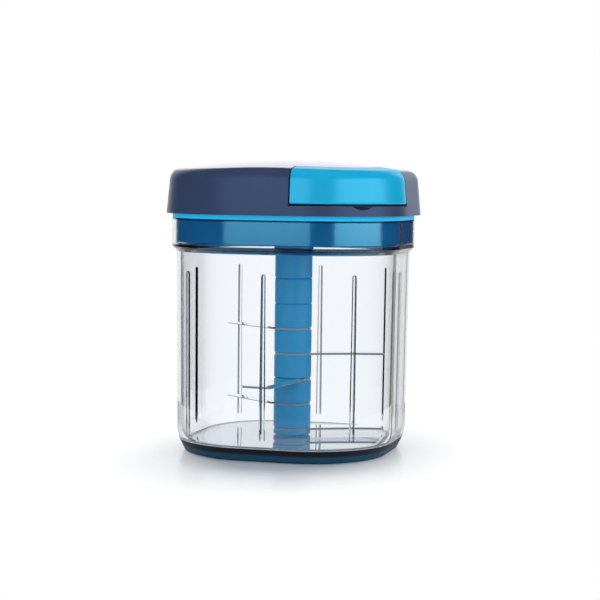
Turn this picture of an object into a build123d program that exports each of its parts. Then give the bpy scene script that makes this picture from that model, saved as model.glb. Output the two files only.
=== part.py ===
from build123d import *
import math
import os

# Hand chopper worked by a pull cord: a clear rounded-square bowl on an anti-slip foot, a five-blade
# shaft that turns on a pin in the bowl's floor, and a domed lid that holds the cord spool, its recoil
# spring and the pull handle. Millimetres, +Z up, origin on the table under the bowl's axis.
# Every plan outline is a rounded square whose corner arcs share the same four centres.

# Plan
RIM_WIDTH = 109.6            # bowl's rim across its flat sides
CORNER_CENTRE = 11.5         # corner arc centres, from the axis along X and along Y
LID_OVERHANG = 2.7           # cover's lower edge past the rim, each side

# Clearances
TURNING_FIT = 0.08           # radial gap where a shaft turns in a bore
SEAT_GAP = 0.1               # between seated faces and in slip-on holes
PLUG_GAP = 0.35              # between the lid's plug and the rim's inside
PRESS_FIT = 0.02             # radial gap where a piece is pressed in

# Foot
FOOT_HEIGHT = 5.8            # height of the band that shows
FOOT_SOLE = 2.4              # thickness under the bowl
FOOT_WALL = 3.3              # band's thickness at its upper edge
FOOT_FLARE = 2.9             # how far the band leans out, each side
FOOT_LEDGE = 10.4            # sole's width inside the band
FOOT_EDGE = 0.8              # rounded edge at the table

# Bowl
BOWL_HEIGHT = 107.0          # underside to rim
RIM_WALL = 2.0
RIM_DEPTH = 13.2             # from the rim down to the shoulder's top
RIM_STEP = 2.3               # rim past the body, each side
SHOULDER = 2.3               # height of the slope between rim and body
BODY_DRAFT = 0.9             # how far the body narrows to the heel, each side
HEEL_HEIGHT = 5.0            # lowest part of the body, which tucks in
HEEL_TUCK = 0.9              # how far the heel leans in, each side
WALL = 2.2
LEDGE = 1.6                  # thickness of the shoulder's inner ledge
FLOOR = 2.6
FLOOR_RISE = 0.4             # floor's top above the foot's band
FLOOR_FILLET = 6.0
STANDING_WALL = 6.0          # width of the ring that stands on the sole
RIB_RADIUS = 1.6             # at the floor
RIB_TIP_RADIUS = 1.0         # at the rounded upper end
RIB_PROUD = 1.0              # how far a rib stands out at the heel
RIB_DROP = 8.7               # rib's upper end below the shoulder
RIB_COUNT = 8

# Blade unit
PIN_RADIUS = 2.0
PIN_REACH = 13.8             # pin's length above the floor
PIN_BOSS_RADIUS = 6.0
PIN_EMBED = 4.4              # pin's length below the floor's top
SHAFT_RADIUS = 8.75
CORE_FLATS = 9.0             # hexagon core, across flats
COLLAR_COUNT = 6
COLLAR_CHAMFER = 0.45
CAP_HEIGHT = 2.3
CAP_LIFT = 0.5               # cap's underside above the floor
HEAD_HEIGHT = 13.4
HEAD_FLOOR = 2.2             # under the head's socket
HEAD_LIP = 1.15              # wall round the recess in the head's top
HEAD_GAP = 0.5               # between the head and the lid's hub ring
SOCKET_GAP = 0.2             # between the driver's flats and the socket's
BLADE_COUNT = 5
BLADE_THICKNESS = 1.0
BLADE_TIP_GAP = 3.4          # between the tip and the bowl's ribs
BLADE_LEAD = 8.5             # cutting edge from the blade's centre line
BLADE_TRAIL = 6.2            # trailing edge from the blade's centre line
BLADE_SCALLOP = 2.0          # hollow of the trailing edge
BLADE_BEVEL = 3.0            # width of the ground cutting edge
BLADE_EDGE = 0.3             # thickness left at the cutting edge
BLADE_TIP_RADIUS = 2.0
BLADE_ANGLE = 142.0          # top blade's direction, from +X
BLADE_TURN_ANGLE = -120.0    # from one blade to the next below

# Lid
SEAL_HEIGHT = 2.1
SEAL_INSET = 0.2             # seal's edge inside the rim's
PLUG_LIFT = 0.6              # plug's underside above the bowl's ledge
PLUG_WALL = 2.0
PLUG_FLOOR = 2.2
FLANGE = 1.8
FLANGE_GAP = 0.4             # between the flange and the handle's pocket
COVER_LEAN = 2.4             # how far the side leans in over the cover's height
COVER_WALL = 2.2
COVER_EDGE = 6.0             # rounded edge between side and dome
DOME_RADIUS = 345.0
LID_BOSS_RADIUS = 3.5
LID_SCREW_RADIUS = 1.45
LID_SCREW_LENGTH = 12.0
LID_SCREW_HEAD_RADIUS = 3.0
LID_SCREW_HEAD = 2.4
LID_SCREW_RECESS = 1.0       # head's depth inside the plug's floor
LID_SCREW_END_GAP = 1.0      # hole's depth past the screw's end
PAD_WALL = 2.0               # wall round a recessed screw head
PAD_TOP = 2.6                # plug pad's thickness over the head
PAD_INSET = 1.45             # between a pad and the plug's wall

# Drive
POST_WALL = 2.0
HUB_WALL = 1.9               # hub ring round the bush's flange
HUB_DROP = 3.4               # hub ring below the plug
BUSH_WALL = 1.5
BUSH_FLANGE_REACH = 1.3      # flange past the bush
BUSH_FLANGE = 1.2
BUSH_FLANGE_RECESS = 0.4     # flange's depth inside the hub ring
WASHER = 0.5
COUPLER_COLLAR_REACH = 2.3   # collar past the journal
COUPLER_COLLAR = 1.4
DRIVER_FLATS = 9.6
DRIVER_CLEARANCE = 0.6       # driver's tip above the socket's floor
SPOOL_HEX_FLATS = 7.0
SPOOL_BOSS_RADIUS = 7.2
SPOOL_BOSS = 10.3
SPOOL_SCREW_RADIUS = 1.25
SPOOL_SCREW_LENGTH = 9.0
SPOOL_SCREW_HEAD_RADIUS = 4.4
SPOOL_SCREW_HEAD = 2.2
SLEEVE_WALL = 2.1
SLEEVE_LIFT = 0.7            # sleeve's lower end above the plug's floor
WEB = 2.2
WEB_LIFT = 0.4               # web above the post
DRUM_RADIUS = 16.0
DRUM_WALL = 2.2
DRUM_SPARE = 2.5             # drum's height past the winding
SPOOL_FLANGE_REACH = 8.0     # flanges past the drum
SPOOL_FLANGE = 1.7
SPOOL_HEADROOM = 5.6         # between the spool and the top of the cover's inside
BARREL_RADIUS = 25.0         # inside of the spring's barrel
BARREL_WALL = 1.6
BARREL_GAP = 0.6             # between the spring's cover and the spool
SPRING_COVER = 0.8
SPRING_STRIP = 0.5
SPRING_TURNS = 7
SPRING_LIFT = 0.3

# Cord
CORD_RADIUS = 1.0
CORD_TURN_GAP = 0.6          # between turns on the drum
CORD_TURNS = 4
CORD_LAY_GAP = 0.1           # between the cord and what it lies on
CORD_STUB = 2.0              # straight end of the winding
CORD_BEND = 9.0              # bend's radius before the eyelet
CORD_BEND_LEAD = 3.5         # bend's corner before the eyelet's flange

# Handle
HANDLE_FRONT = 2.6           # wall before the hollow, at the lid's upper outline
HANDLE_HALF_ANGLE = 42.5
HANDLE_GAP = 1.0             # shadow gap at the handle's ends and under it
HANDLE_BACK_GAP = 0.4
HANDLE_EDGE = 0.9
HANDLE_WALL = 3.0            # at the ends and under the hollow
HANDLE_BACK = 2.4
HANDLE_SCREW_ANGLE = 26.0
HANDLE_SCREW_RADIUS = 0.9
HANDLE_SCREW_LENGTH = 6.0
HANDLE_SCREW_HEAD_RADIUS = 2.0
HANDLE_SCREW_HEAD = 1.3
HANDLE_BOSS_RADIUS = 2.6
KNOT_RADIUS = 2.5
KNOT_FRONT_GAP = 0.5         # between the knot and the hollow's front
KNOT_LIFT = 1.4              # knot above the hollow's floor
KNOT_HEADROOM = 1.6          # hollow's height over the knot
NOTCH_WIDTH = 10.0
NOTCH_DEPTH = 1.6
EYELET_WALL = 1.1
EYELET_FLANGE_RADIUS = 3.6
EYELET_FLANGE = 1.2

# Half widths of the plan outlines
RIM_HALF = RIM_WIDTH / 2
BODY_HALF = RIM_HALF - RIM_STEP
HEEL_HALF = BODY_HALF - BODY_DRAFT
FOOT_TOP_HALF = HEEL_HALF - HEEL_TUCK
STANDING_HALF = FOOT_TOP_HALF - FOOT_WALL
MOUTH_HALF = RIM_HALF - RIM_WALL
PLUG_HALF = MOUTH_HALF - PLUG_GAP
COVER_HALF = RIM_HALF + LID_OVERHANG
COVER_TOP_HALF = COVER_HALF - COVER_LEAN

# Reaches and radii
BLADE_REACH = HEEL_HALF - WALL - RIB_PROUD - BLADE_TIP_GAP
HEAD_RECESS_RADIUS = SHAFT_RADIUS - HEAD_LIP
COUPLER_COLLAR_RADIUS = HEAD_RECESS_RADIUS - 4 * SOCKET_GAP
JOURNAL_RADIUS = COUPLER_COLLAR_RADIUS - COUPLER_COLLAR_REACH
BUSH_RADIUS = JOURNAL_RADIUS + BUSH_WALL
BUSH_FLANGE_RADIUS = BUSH_RADIUS + BUSH_FLANGE_REACH
HUB_RADIUS = BUSH_FLANGE_RADIUS + HUB_WALL
POST_RADIUS = BUSH_RADIUS + POST_WALL
SLEEVE_RADIUS = POST_RADIUS + TURNING_FIT + SLEEVE_WALL
SPOOL_FLANGE_RADIUS = DRUM_RADIUS + SPOOL_FLANGE_REACH
PAD_RADIUS = LID_SCREW_HEAD_RADIUS + PAD_WALL
LID_SCREW_SPREAD = PLUG_HALF - PLUG_WALL - PAD_RADIUS - PAD_INSET
HANDLE_HOLLOW = HANDLE_BACK + SEAT_GAP + 2 * KNOT_RADIUS + KNOT_FRONT_GAP
HANDLE_RADIUS = COVER_TOP_HALF - CORNER_CENTRE - HANDLE_FRONT - HANDLE_HOLLOW
POCKET_RADIUS = HANDLE_RADIUS - HANDLE_BACK_GAP
WINDING_RADIUS = DRUM_RADIUS + CORD_RADIUS + CORD_LAY_GAP
CORD_PITCH = 2 * CORD_RADIUS + CORD_TURN_GAP
CORD_BEND_INSET = COVER_WALL + EYELET_FLANGE + CORD_BEND_LEAD

# Levels, from the table up
BOWL_Z = FOOT_SOLE
FLOOR_Z = FOOT_HEIGHT + FLOOR_RISE
HEEL_Z = FOOT_HEIGHT + HEEL_HEIGHT
RIM_Z = BOWL_Z + BOWL_HEIGHT
SHOULDER_Z = RIM_Z - RIM_DEPTH
BODY_Z = SHOULDER_Z - SHOULDER
LEDGE_Z = SHOULDER_Z + LEDGE
COVER_Z = RIM_Z + SEAT_GAP + SEAL_HEIGHT
HANDLE_Z = COVER_Z + FLANGE + FLANGE_GAP + COVER_WALL + HANDLE_GAP
CORD_Z = HANDLE_Z + HANDLE_WALL + KNOT_LIFT + KNOT_RADIUS
WINDING_Z = CORD_Z - CORD_TURNS * CORD_PITCH
DRUM_Z = WINDING_Z - CORD_RADIUS - CORD_LAY_GAP
DRUM_TOP_Z = CORD_Z + CORD_RADIUS + CORD_LAY_GAP + DRUM_SPARE
SPOOL_TOP_Z = DRUM_TOP_Z + SPOOL_FLANGE
LID_TOP_Z = SPOOL_TOP_Z + SPOOL_HEADROOM + COVER_WALL
PLUG_Z = LEDGE_Z + PLUG_LIFT
PAN_Z = PLUG_Z + PLUG_FLOOR
HUB_Z = PLUG_Z - HUB_DROP
WEB_Z = DRUM_Z - WEB
POST_Z = WEB_Z - WEB_LIFT
BARREL_Z = WEB_Z - BARREL_GAP - SPRING_COVER
SPOOL_BOSS_Z = WEB_Z + SPOOL_BOSS
BUSH_Z = HUB_Z + BUSH_FLANGE_RECESS
WASHER_Z = BUSH_Z - SEAT_GAP - WASHER
COLLAR_Z = WASHER_Z - SEAT_GAP - COUPLER_COLLAR
CAP_Z = FLOOR_Z + CAP_LIFT
LOW_SEAM_Z = CAP_Z + CAP_HEIGHT + BLADE_THICKNESS / 2
HEAD_TOP_Z = HUB_Z - HEAD_GAP
HEAD_Z = HEAD_TOP_Z - HEAD_HEIGHT
SOCKET_Z = HEAD_Z + HEAD_FLOOR
COLLAR_PITCH = (HEAD_Z - LOW_SEAM_Z) / COLLAR_COUNT

# Cord and handle lines
PULL_ANGLE = -45.0
PULL = Vector(math.cos(math.radians(PULL_ANGLE)), math.sin(math.radians(PULL_ANGLE)), 0)
CORNER = Vector(CORNER_CENTRE, -CORNER_CENTRE, 0)
CORNER_DISTANCE = CORNER.length

PAST = 1.0                   # how far a cutter runs past the face it opens
UP = (Align.CENTER, Align.CENTER, Align.MIN)


def plan(half, z):
    """Rounded square outline of one level, lying at height z."""
    return Pos(0, 0, z) * RectangleRounded(2 * half, 2 * half, half - CORNER_CENTRE)


def block(half, low, high):
    """Straight-sided rounded-square block."""
    return extrude(plan(half, low), high - low)


def flared_block(low_half, high_half, low, high):
    """Rounded-square block whose sides lean from one half width to another."""
    lean = math.degrees(math.atan2(low_half - high_half, high - low))
    return extrude(plan(low_half, low), high - low, taper=lean)


def post(radius, low, high, x=0.0, y=0.0):
    """Upright round post."""
    return Pos(x, y, low) * Cylinder(radius, high - low, align=UP)


def hexagon(flats, low, high):
    """Upright hexagonal bar."""
    outline = RegularPolygon(flats / 2, 6, major_radius=False)
    return extrude(Pos(0, 0, low) * outline, high - low)


def sector(inner, outer, half_angle, low, high):
    """Block between two arcs about the handle corner's centre."""
    start = PULL_ANGLE - half_angle
    near = CenterArc(CORNER, inner, start, 2 * half_angle)
    far = CenterArc(CORNER, outer, start, 2 * half_angle)
    sides = [Line(near @ 0, far @ 0), Line(near @ 1, far @ 1)]
    return extrude(Pos(0, 0, low) * make_face([near, far, *sides]), high - low)


def spoke(radius, near, far, angle=PULL_ANGLE, z=CORD_Z):
    """Round bar that lies along a ray from the handle corner's centre."""
    ray = Vector(math.cos(math.radians(angle)), math.sin(math.radians(angle)), 0)
    start = CORNER + ray * near + Vector(0, 0, z)
    return Plane(start, z_dir=ray) * Cylinder(radius, far - near, align=UP)


def level_edges(solid, low, high):
    """Edges whose middle lies between two heights."""
    return solid.edges().filter_by_position(Axis.Z, low, high)


def edges_at(solid, z):
    """Edges that lie at one height."""
    return level_edges(solid, z - SEAT_GAP, z + SEAT_GAP)


def make_base_foot():
    """Anti-slip ring: a flared band with a sole that the bowl stands on."""
    band = flared_block(FOOT_TOP_HALF - FOOT_FLARE, FOOT_TOP_HALF, 0, FOOT_HEIGHT)
    band = fillet(edges_at(band, 0), FOOT_EDGE)
    seat = block(STANDING_HALF + SEAT_GAP, FOOT_SOLE, FOOT_HEIGHT + PAST)
    window = block(STANDING_HALF - FOOT_LEDGE, -PAST, FOOT_HEIGHT)
    return band - seat - window


def make_bowl():
    """Clear bowl: spigot, tucked heel, drafted body, sloped shoulder and rim, with ribs inside."""
    body_low = FOOT_HEIGHT + SEAT_GAP
    shell = block(STANDING_HALF, BOWL_Z, body_low)
    shell += flared_block(FOOT_TOP_HALF, HEEL_HALF, body_low, HEEL_Z)
    shell += flared_block(HEEL_HALF, BODY_HALF, HEEL_Z, BODY_Z)
    shell += flared_block(BODY_HALF, RIM_HALF, BODY_Z, SHOULDER_Z)
    shell += block(RIM_HALF, SHOULDER_Z, RIM_Z)
    ribs = make_ribs() & shell
    hollow = flared_block(HEEL_HALF - WALL, BODY_HALF - WALL, FLOOR_Z, LEDGE_Z)
    hollow = fillet(edges_at(hollow, FLOOR_Z), FLOOR_FILLET)
    shell -= hollow + block(MOUTH_HALF, LEDGE_Z, RIM_Z + PAST)
    shell -= block(STANDING_HALF - STANDING_WALL, BOWL_Z - PAST, FLOOR_Z - FLOOR)
    shell += ribs
    boss_z = FLOOR_Z - PIN_EMBED
    shell += post(PIN_BOSS_RADIUS, boss_z, FLOOR_Z)
    return shell - post(PIN_RADIUS + PRESS_FIT, boss_z, FLOOR_Z + PAST)


def make_ribs():
    """Tapered half-round ribs up the inside of the bowl, mid-side and in each corner."""
    low_z = FLOOR_Z - FLOOR / 2
    tip_z = BODY_Z - RIB_DROP - RIB_TIP_RADIUS
    bar = Pos(0, 0, low_z) * Cone(RIB_RADIUS, RIB_TIP_RADIUS, tip_z - low_z, align=UP)
    bar += Pos(0, 0, tip_z) * Sphere(RIB_TIP_RADIUS)
    side = HEEL_HALF - WALL - RIB_PROUD + RIB_RADIUS
    corner = CORNER_DISTANCE + side - CORNER_CENTRE
    ribs = Part()
    for index in range(RIB_COUNT):
        reach = side if index % 2 == 0 else corner
        ribs += Rot(0, 0, index * 360 / RIB_COUNT) * Pos(reach, 0, 0) * bar
    return ribs


def make_pivot_pin():
    """Steel pin, pressed into the floor's boss, with a chamfered tip."""
    pin = post(PIN_RADIUS, FLOOR_Z - PIN_EMBED, FLOOR_Z + PIN_REACH)
    tip = edges_at(pin, FLOOR_Z + PIN_REACH)
    return chamfer(tip, PIN_RADIUS / 4)


def make_blade_shaft():
    """Moulded head with a hexagon socket, on the hexagon core that carries collars and blades."""
    head = post(SHAFT_RADIUS, HEAD_Z, HEAD_TOP_Z)
    head = chamfer(edges_at(head, HEAD_Z), COLLAR_CHAMFER)
    head -= hexagon(DRIVER_FLATS + 2 * SOCKET_GAP, SOCKET_Z, HEAD_TOP_Z + PAST)
    head -= post(HEAD_RECESS_RADIUS, COLLAR_Z - 2 * SOCKET_GAP, HEAD_TOP_Z + PAST)
    head += hexagon(CORE_FLATS, CAP_Z + SEAT_GAP, HEAD_Z)
    bore_top = FLOOR_Z + PIN_REACH + SEAT_GAP
    return head - post(PIN_RADIUS + TURNING_FIT, CAP_Z - PAST, bore_top)


def collar_ends(index):
    """Lower and upper height of a spacer collar, counted from the head down."""
    upper_seam = HEAD_Z - index * COLLAR_PITCH
    lower_seam = upper_seam - COLLAR_PITCH
    first_blade_seam = COLLAR_COUNT - BLADE_COUNT + 1
    upper = upper_seam - (BLADE_THICKNESS / 2 if index >= first_blade_seam else 0)
    lower = lower_seam + (BLADE_THICKNESS / 2 if index + 1 >= first_blade_seam else 0)
    return lower, upper


def make_collar(low, high):
    """Spacer collar with chamfered ends, so that each seam shows as a fine groove."""
    ring = post(SHAFT_RADIUS, low, high)
    ring = chamfer(ring.edges().filter_by(GeomType.CIRCLE), COLLAR_CHAMFER)
    return ring - hexagon(CORE_FLATS + 2 * SEAT_GAP, low - PAST, high + PAST)


def make_blade(index):
    """Steel blade: a hub disc on the core and one arm, ground along its leading edge."""
    low = LOW_SEAM_Z + (BLADE_COUNT - 1 - index) * COLLAR_PITCH - BLADE_THICKNESS / 2
    root = SHAFT_RADIUS / 2
    lead = Line((root, BLADE_LEAD), (BLADE_REACH, BLADE_LEAD))
    tip = Line(lead @ 1, (BLADE_REACH, -BLADE_TRAIL))
    middle = ((root + BLADE_REACH) / 2, BLADE_SCALLOP - BLADE_TRAIL)
    trail = ThreePointArc(tip @ 1, middle, (root, -BLADE_TRAIL))
    heel = Line(trail @ 1, lead @ 0)
    arm = extrude(make_face([lead, tip, trail, heel]), BLADE_THICKNESS)
    corners = arm.edges().filter_by(Axis.Z).group_by(Axis.X)[-1]
    arm = fillet(corners, BLADE_TIP_RADIUS)
    ground = Polyline(
        (BLADE_LEAD - BLADE_BEVEL, BLADE_THICKNESS),
        (BLADE_LEAD + PAST, BLADE_EDGE - PAST * (BLADE_THICKNESS - BLADE_EDGE) / BLADE_BEVEL),
        (BLADE_LEAD + PAST, BLADE_THICKNESS + PAST),
        close=True,
    )
    wedge = extrude(make_face(Plane.YZ * ground), BLADE_REACH + PAST)
    blade = arm - Pos(SHAFT_RADIUS, 0, 0) * wedge
    blade += post(SHAFT_RADIUS - COLLAR_CHAMFER, 0, BLADE_THICKNESS)
    turn = BLADE_ANGLE + index * BLADE_TURN_ANGLE
    blade -= Rot(0, 0, -turn) * hexagon(CORE_FLATS + 2 * SEAT_GAP, -PAST, BLADE_THICKNESS + PAST)
    return Pos(0, 0, low) * Rot(0, 0, turn) * blade


def make_shaft_end_cap():
    """Cap that locks the stack at the foot of the core."""
    cap = post(SHAFT_RADIUS, CAP_Z, CAP_Z + CAP_HEIGHT)
    cap = chamfer(cap.edges().filter_by(GeomType.CIRCLE), COLLAR_CHAMFER)
    return cap - hexagon(CORE_FLATS + 2 * SEAT_GAP, CAP_Z - PAST, CAP_Z + CAP_HEIGHT + PAST)


def cover_solid(inset):
    """Domed outside of the lid, or the same form drawn in by a wall."""
    body = flared_block(COVER_HALF - inset, COVER_TOP_HALF - inset, COVER_Z, LID_TOP_Z)
    body &= Pos(0, 0, LID_TOP_Z - DOME_RADIUS) * Sphere(DOME_RADIUS - inset)
    edge_z = LID_TOP_Z - COVER_HALF**2 / DOME_RADIUS
    return fillet(level_edges(body, edge_z - inset, LID_TOP_Z + PAST), COVER_EDGE - inset)


def make_lid_cover():
    """Domed cover: a shell with the handle's pocket, its finger notch and four screw bosses."""
    gap_angle = math.degrees(HANDLE_GAP / COVER_TOP_HALF)
    wall_angle = math.degrees(COVER_WALL / POCKET_RADIUS)
    pocket_z = HANDLE_Z - HANDLE_GAP
    pocket_angle = HANDLE_HALF_ANGLE + gap_angle
    pocket = sector(POCKET_RADIUS, 2 * COVER_HALF, pocket_angle, pocket_z, LID_TOP_Z + PAST)
    lining = sector(
        POCKET_RADIUS - COVER_WALL,
        2 * COVER_HALF,
        pocket_angle + wall_angle,
        pocket_z - COVER_WALL,
        LID_TOP_Z + PAST,
    )
    hollow = cover_solid(COVER_WALL) - lining
    cover = cover_solid(0) - hollow - pocket
    room = cover_solid(COVER_WALL / 2) + block(PLUG_HALF, PAN_Z, COVER_Z)
    boss_z = lid_boss_z()
    for x, y in screw_places():
        cover += post(LID_BOSS_RADIUS, boss_z, LID_TOP_Z, x, y) & room
        cover -= post(LID_SCREW_RADIUS + PRESS_FIT, boss_z - PAST, boss_z + LID_SCREW_LENGTH, x, y)
    notch_radius = (NOTCH_WIDTH**2 / 4 + NOTCH_DEPTH**2) / (2 * NOTCH_DEPTH)
    rim = CORNER + PULL * (COVER_HALF - CORNER_CENTRE)
    cover -= Pos(rim.X, rim.Y, pocket_z + notch_radius - NOTCH_DEPTH) * Sphere(notch_radius)
    wall_hole = CORD_RADIUS + EYELET_WALL + CORD_LAY_GAP + PRESS_FIT
    return cover - spoke(wall_hole, POCKET_RADIUS - 2 * COVER_WALL, POCKET_RADIUS + PAST)


def screw_places():
    """Positions of the four lid screws, one behind the middle of each side."""
    spread = LID_SCREW_SPREAD
    return [(spread, 0), (0, spread), (-spread, 0), (0, -spread)]


def lid_boss_z():
    """Lower end of the cover's screw bosses, on the plug's pads."""
    return PLUG_Z + LID_SCREW_RECESS + LID_SCREW_HEAD + PAD_TOP + SEAT_GAP


def make_lid_plug():
    """Pan that plugs the bowl's mouth, with a flange, a spring barrel, a post and screw pads."""
    pan = block(PLUG_HALF, PLUG_Z, COVER_Z + FLANGE)
    flange_half = COVER_HALF - COVER_WALL - PLUG_GAP
    pan += block(flange_half, COVER_Z, COVER_Z + FLANGE)
    pan -= block(PLUG_HALF - PLUG_WALL, PAN_Z, COVER_Z + FLANGE + PAST)
    barrel = post(BARREL_RADIUS + BARREL_WALL, PLUG_Z, BARREL_Z)
    pan += barrel - post(BARREL_RADIUS, PAN_Z, BARREL_Z + PAST)
    pan += post(POST_RADIUS, PLUG_Z, POST_Z) + post(HUB_RADIUS, HUB_Z, PLUG_Z)
    pan -= post(BUSH_RADIUS, HUB_Z - PAST, POST_Z + PAST)
    flange_seat = BUSH_Z + BUSH_FLANGE
    pan -= post(BUSH_FLANGE_RADIUS + SEAT_GAP, HUB_Z - PAST, flange_seat)
    head_z = PLUG_Z + LID_SCREW_RECESS + LID_SCREW_HEAD
    for x, y in screw_places():
        pan += post(PAD_RADIUS, PLUG_Z, head_z + PAD_TOP, x, y)
        pan -= post(LID_SCREW_HEAD_RADIUS + SEAT_GAP, PLUG_Z - PAST, head_z, x, y)
        pan -= post(LID_SCREW_RADIUS + SEAT_GAP, PLUG_Z, head_z + PAD_TOP + PAST, x, y)
    return pan


def make_seal_ring():
    """Soft ring that shows as a cyan line between the cover and the bowl's rim."""
    low = RIM_Z + SEAT_GAP
    ring = block(RIM_HALF - SEAL_INSET, low, COVER_Z)
    return ring - block(PLUG_HALF + SEAT_GAP, low - PAST, COVER_Z + PAST)


def make_lid_screws():
    """Four screws, driven from under the plug into the cover's bosses."""
    screws = []
    for x, y in screw_places():
        head_z = PLUG_Z + LID_SCREW_RECESS
        seat_z = head_z + LID_SCREW_HEAD
        head = post(LID_SCREW_HEAD_RADIUS, head_z, seat_z, x, y)
        slot = Box(LID_SCREW_HEAD_RADIUS, LID_SCREW_RADIUS / 2, LID_SCREW_HEAD)
        cross = slot + Rot(0, 0, 90) * slot
        shank = post(LID_SCREW_RADIUS, seat_z, lid_boss_z() + LID_SCREW_LENGTH - LID_SCREW_END_GAP, x, y)
        screws.append(head - Pos(x, y, head_z) * cross + shank)
    return screws


def make_drive_bush():
    """Flanged bearing bush, pressed up into the plug's post."""
    flange_seat = BUSH_Z + BUSH_FLANGE
    bush = post(BUSH_FLANGE_RADIUS, BUSH_Z, flange_seat)
    bush += post(BUSH_RADIUS - PRESS_FIT, flange_seat, POST_Z)
    return bush - post(JOURNAL_RADIUS + TURNING_FIT, BUSH_Z - PAST, POST_Z + PAST)


def make_thrust_washer():
    """Washer between the coupler's collar and the bush's flange."""
    washer = post(COUPLER_COLLAR_RADIUS, WASHER_Z, WASHER_Z + WASHER)
    return washer - post(JOURNAL_RADIUS + SEAT_GAP, WASHER_Z - PAST, BUSH_Z)


def make_drive_coupler():
    """Driver: hexagon tip for the blade shaft, collar, journal, and hexagon end for the spool."""
    tip_z = SOCKET_Z + DRIVER_CLEARANCE
    collar_top_z = COLLAR_Z + COUPLER_COLLAR
    coupler = hexagon(DRIVER_FLATS, tip_z, COLLAR_Z)
    coupler += post(COUPLER_COLLAR_RADIUS, COLLAR_Z, collar_top_z)
    coupler += post(JOURNAL_RADIUS, collar_top_z, WEB_Z)
    end_z = SPOOL_BOSS_Z - 2 * SEAT_GAP
    coupler += hexagon(SPOOL_HEX_FLATS, WEB_Z, end_z)
    return coupler - post(SPOOL_SCREW_RADIUS + PRESS_FIT, end_z - SPOOL_SCREW_LENGTH, end_z + PAST)


def make_cord_spool():
    """Spool: sleeve round the post, web, drum between two flanges, and a hexagon-bored boss."""
    spool = post(SLEEVE_RADIUS, PAN_Z + SLEEVE_LIFT, WEB_Z)
    spool -= post(POST_RADIUS + TURNING_FIT, PAN_Z, WEB_Z)
    spool += post(SPOOL_FLANGE_RADIUS, WEB_Z, DRUM_Z)
    drum = post(DRUM_RADIUS, DRUM_Z, DRUM_TOP_Z)
    drum += post(SPOOL_FLANGE_RADIUS, DRUM_TOP_Z, SPOOL_TOP_Z)
    spool += drum - post(DRUM_RADIUS - DRUM_WALL, DRUM_Z, SPOOL_TOP_Z + PAST)
    spool += post(SPOOL_BOSS_RADIUS, DRUM_Z, SPOOL_BOSS_Z)
    spool -= hexagon(SPOOL_HEX_FLATS + 2 * SEAT_GAP, WEB_Z - PAST, SPOOL_BOSS_Z + PAST)
    point, along = winding_point(0)
    lug_size = 2 * CORD_RADIUS
    centre = point - along * (CORD_STUB + lug_size / 2 + CORD_LAY_GAP)
    lug_plane = Plane(Vector(centre.X, centre.Y, DRUM_Z), x_dir=along, z_dir=(0, 0, 1))
    lug = lug_plane * Box(lug_size, 3 * lug_size, lug_size, align=UP)
    return spool + (lug - post(DRUM_RADIUS - DRUM_WALL / 2, WEB_Z, DRUM_TOP_Z))


def make_spool_screw():
    """Screw that draws the spool down onto the coupler."""
    seat_z = SPOOL_BOSS_Z + SEAT_GAP
    end_z = SPOOL_BOSS_Z - SPOOL_SCREW_LENGTH
    head = post(SPOOL_SCREW_HEAD_RADIUS, seat_z, seat_z + SPOOL_SCREW_HEAD)
    return head + post(SPOOL_SCREW_RADIUS, end_z, seat_z)


def make_recoil_spring():
    """Flat spiral spring from the spool's sleeve out to the barrel's wall, as half-turn arcs."""
    inner = SLEEVE_RADIUS + 2 * SEAT_GAP
    outer = BARREL_RADIUS - 2 * SEAT_GAP - SPRING_STRIP
    step = (outer - inner) / (2 * SPRING_TURNS)
    near, far = [], []
    for half_turn in range(2 * SPRING_TURNS):
        side = step / 2 if half_turn % 2 else -step / 2
        radius = inner + (half_turn + 0.5) * step
        start = 180 * half_turn
        near.append(CenterArc((side, 0), radius, start, 180))
        far.append(CenterArc((side, 0), radius + SPRING_STRIP, start, 180))
    ends = [Line(near[0] @ 0, far[0] @ 0), Line(near[-1] @ 1, far[-1] @ 1)]
    strip = make_face([*near, *far, *ends])
    low = PAN_Z + SPRING_LIFT
    print("recoil spring: least gap between turns", round(2 * step - SPRING_STRIP, 2), "mm")
    return extrude(Pos(0, 0, low) * strip, BARREL_Z - SPRING_LIFT - low)


def make_spring_cover():
    """Thin plate on the barrel that keeps the spring down."""
    top_z = BARREL_Z + SPRING_COVER
    plate = post(BARREL_RADIUS + BARREL_WALL, BARREL_Z, top_z)
    return plate - post(SLEEVE_RADIUS + 2 * SEAT_GAP, BARREL_Z - PAST, top_z + PAST)


def lead_start_angle():
    """Angle on the drum where the straight cord leaves it for the eyelet."""
    corner = CORNER_DISTANCE + POCKET_RADIUS - CORD_BEND_INSET
    return PULL_ANGLE - math.degrees(math.acos(WINDING_RADIUS / corner))


def winding_point(turn):
    """Point and direction of the winding after a number of turns."""
    angle = math.radians(lead_start_angle()) + 2 * math.pi * turn
    rise = CORD_PITCH / (2 * math.pi)
    point = Vector(
        WINDING_RADIUS * math.cos(angle), WINDING_RADIUS * math.sin(angle), WINDING_Z + turn * CORD_PITCH
    )
    along = Vector(-WINDING_RADIUS * math.sin(angle), WINDING_RADIUS * math.cos(angle), rise)
    return point, along.normalized()


def biarc(start, start_way, end, end_way):
    """Two arcs that join two points and share their directions there."""
    span = end - start
    ways = start_way + end_way
    bend = 2 * (1 - start_way.dot(end_way))
    reach = span.dot(ways)
    leg = (math.sqrt(reach**2 + bend * span.dot(span)) - reach) / bend
    joint = (start + start_way * leg + end - end_way * leg) * 0.5
    first = TangentArc(start, joint, tangent=start_way)
    return [first, TangentArc(joint, end, tangent=first % 1)]


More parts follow.
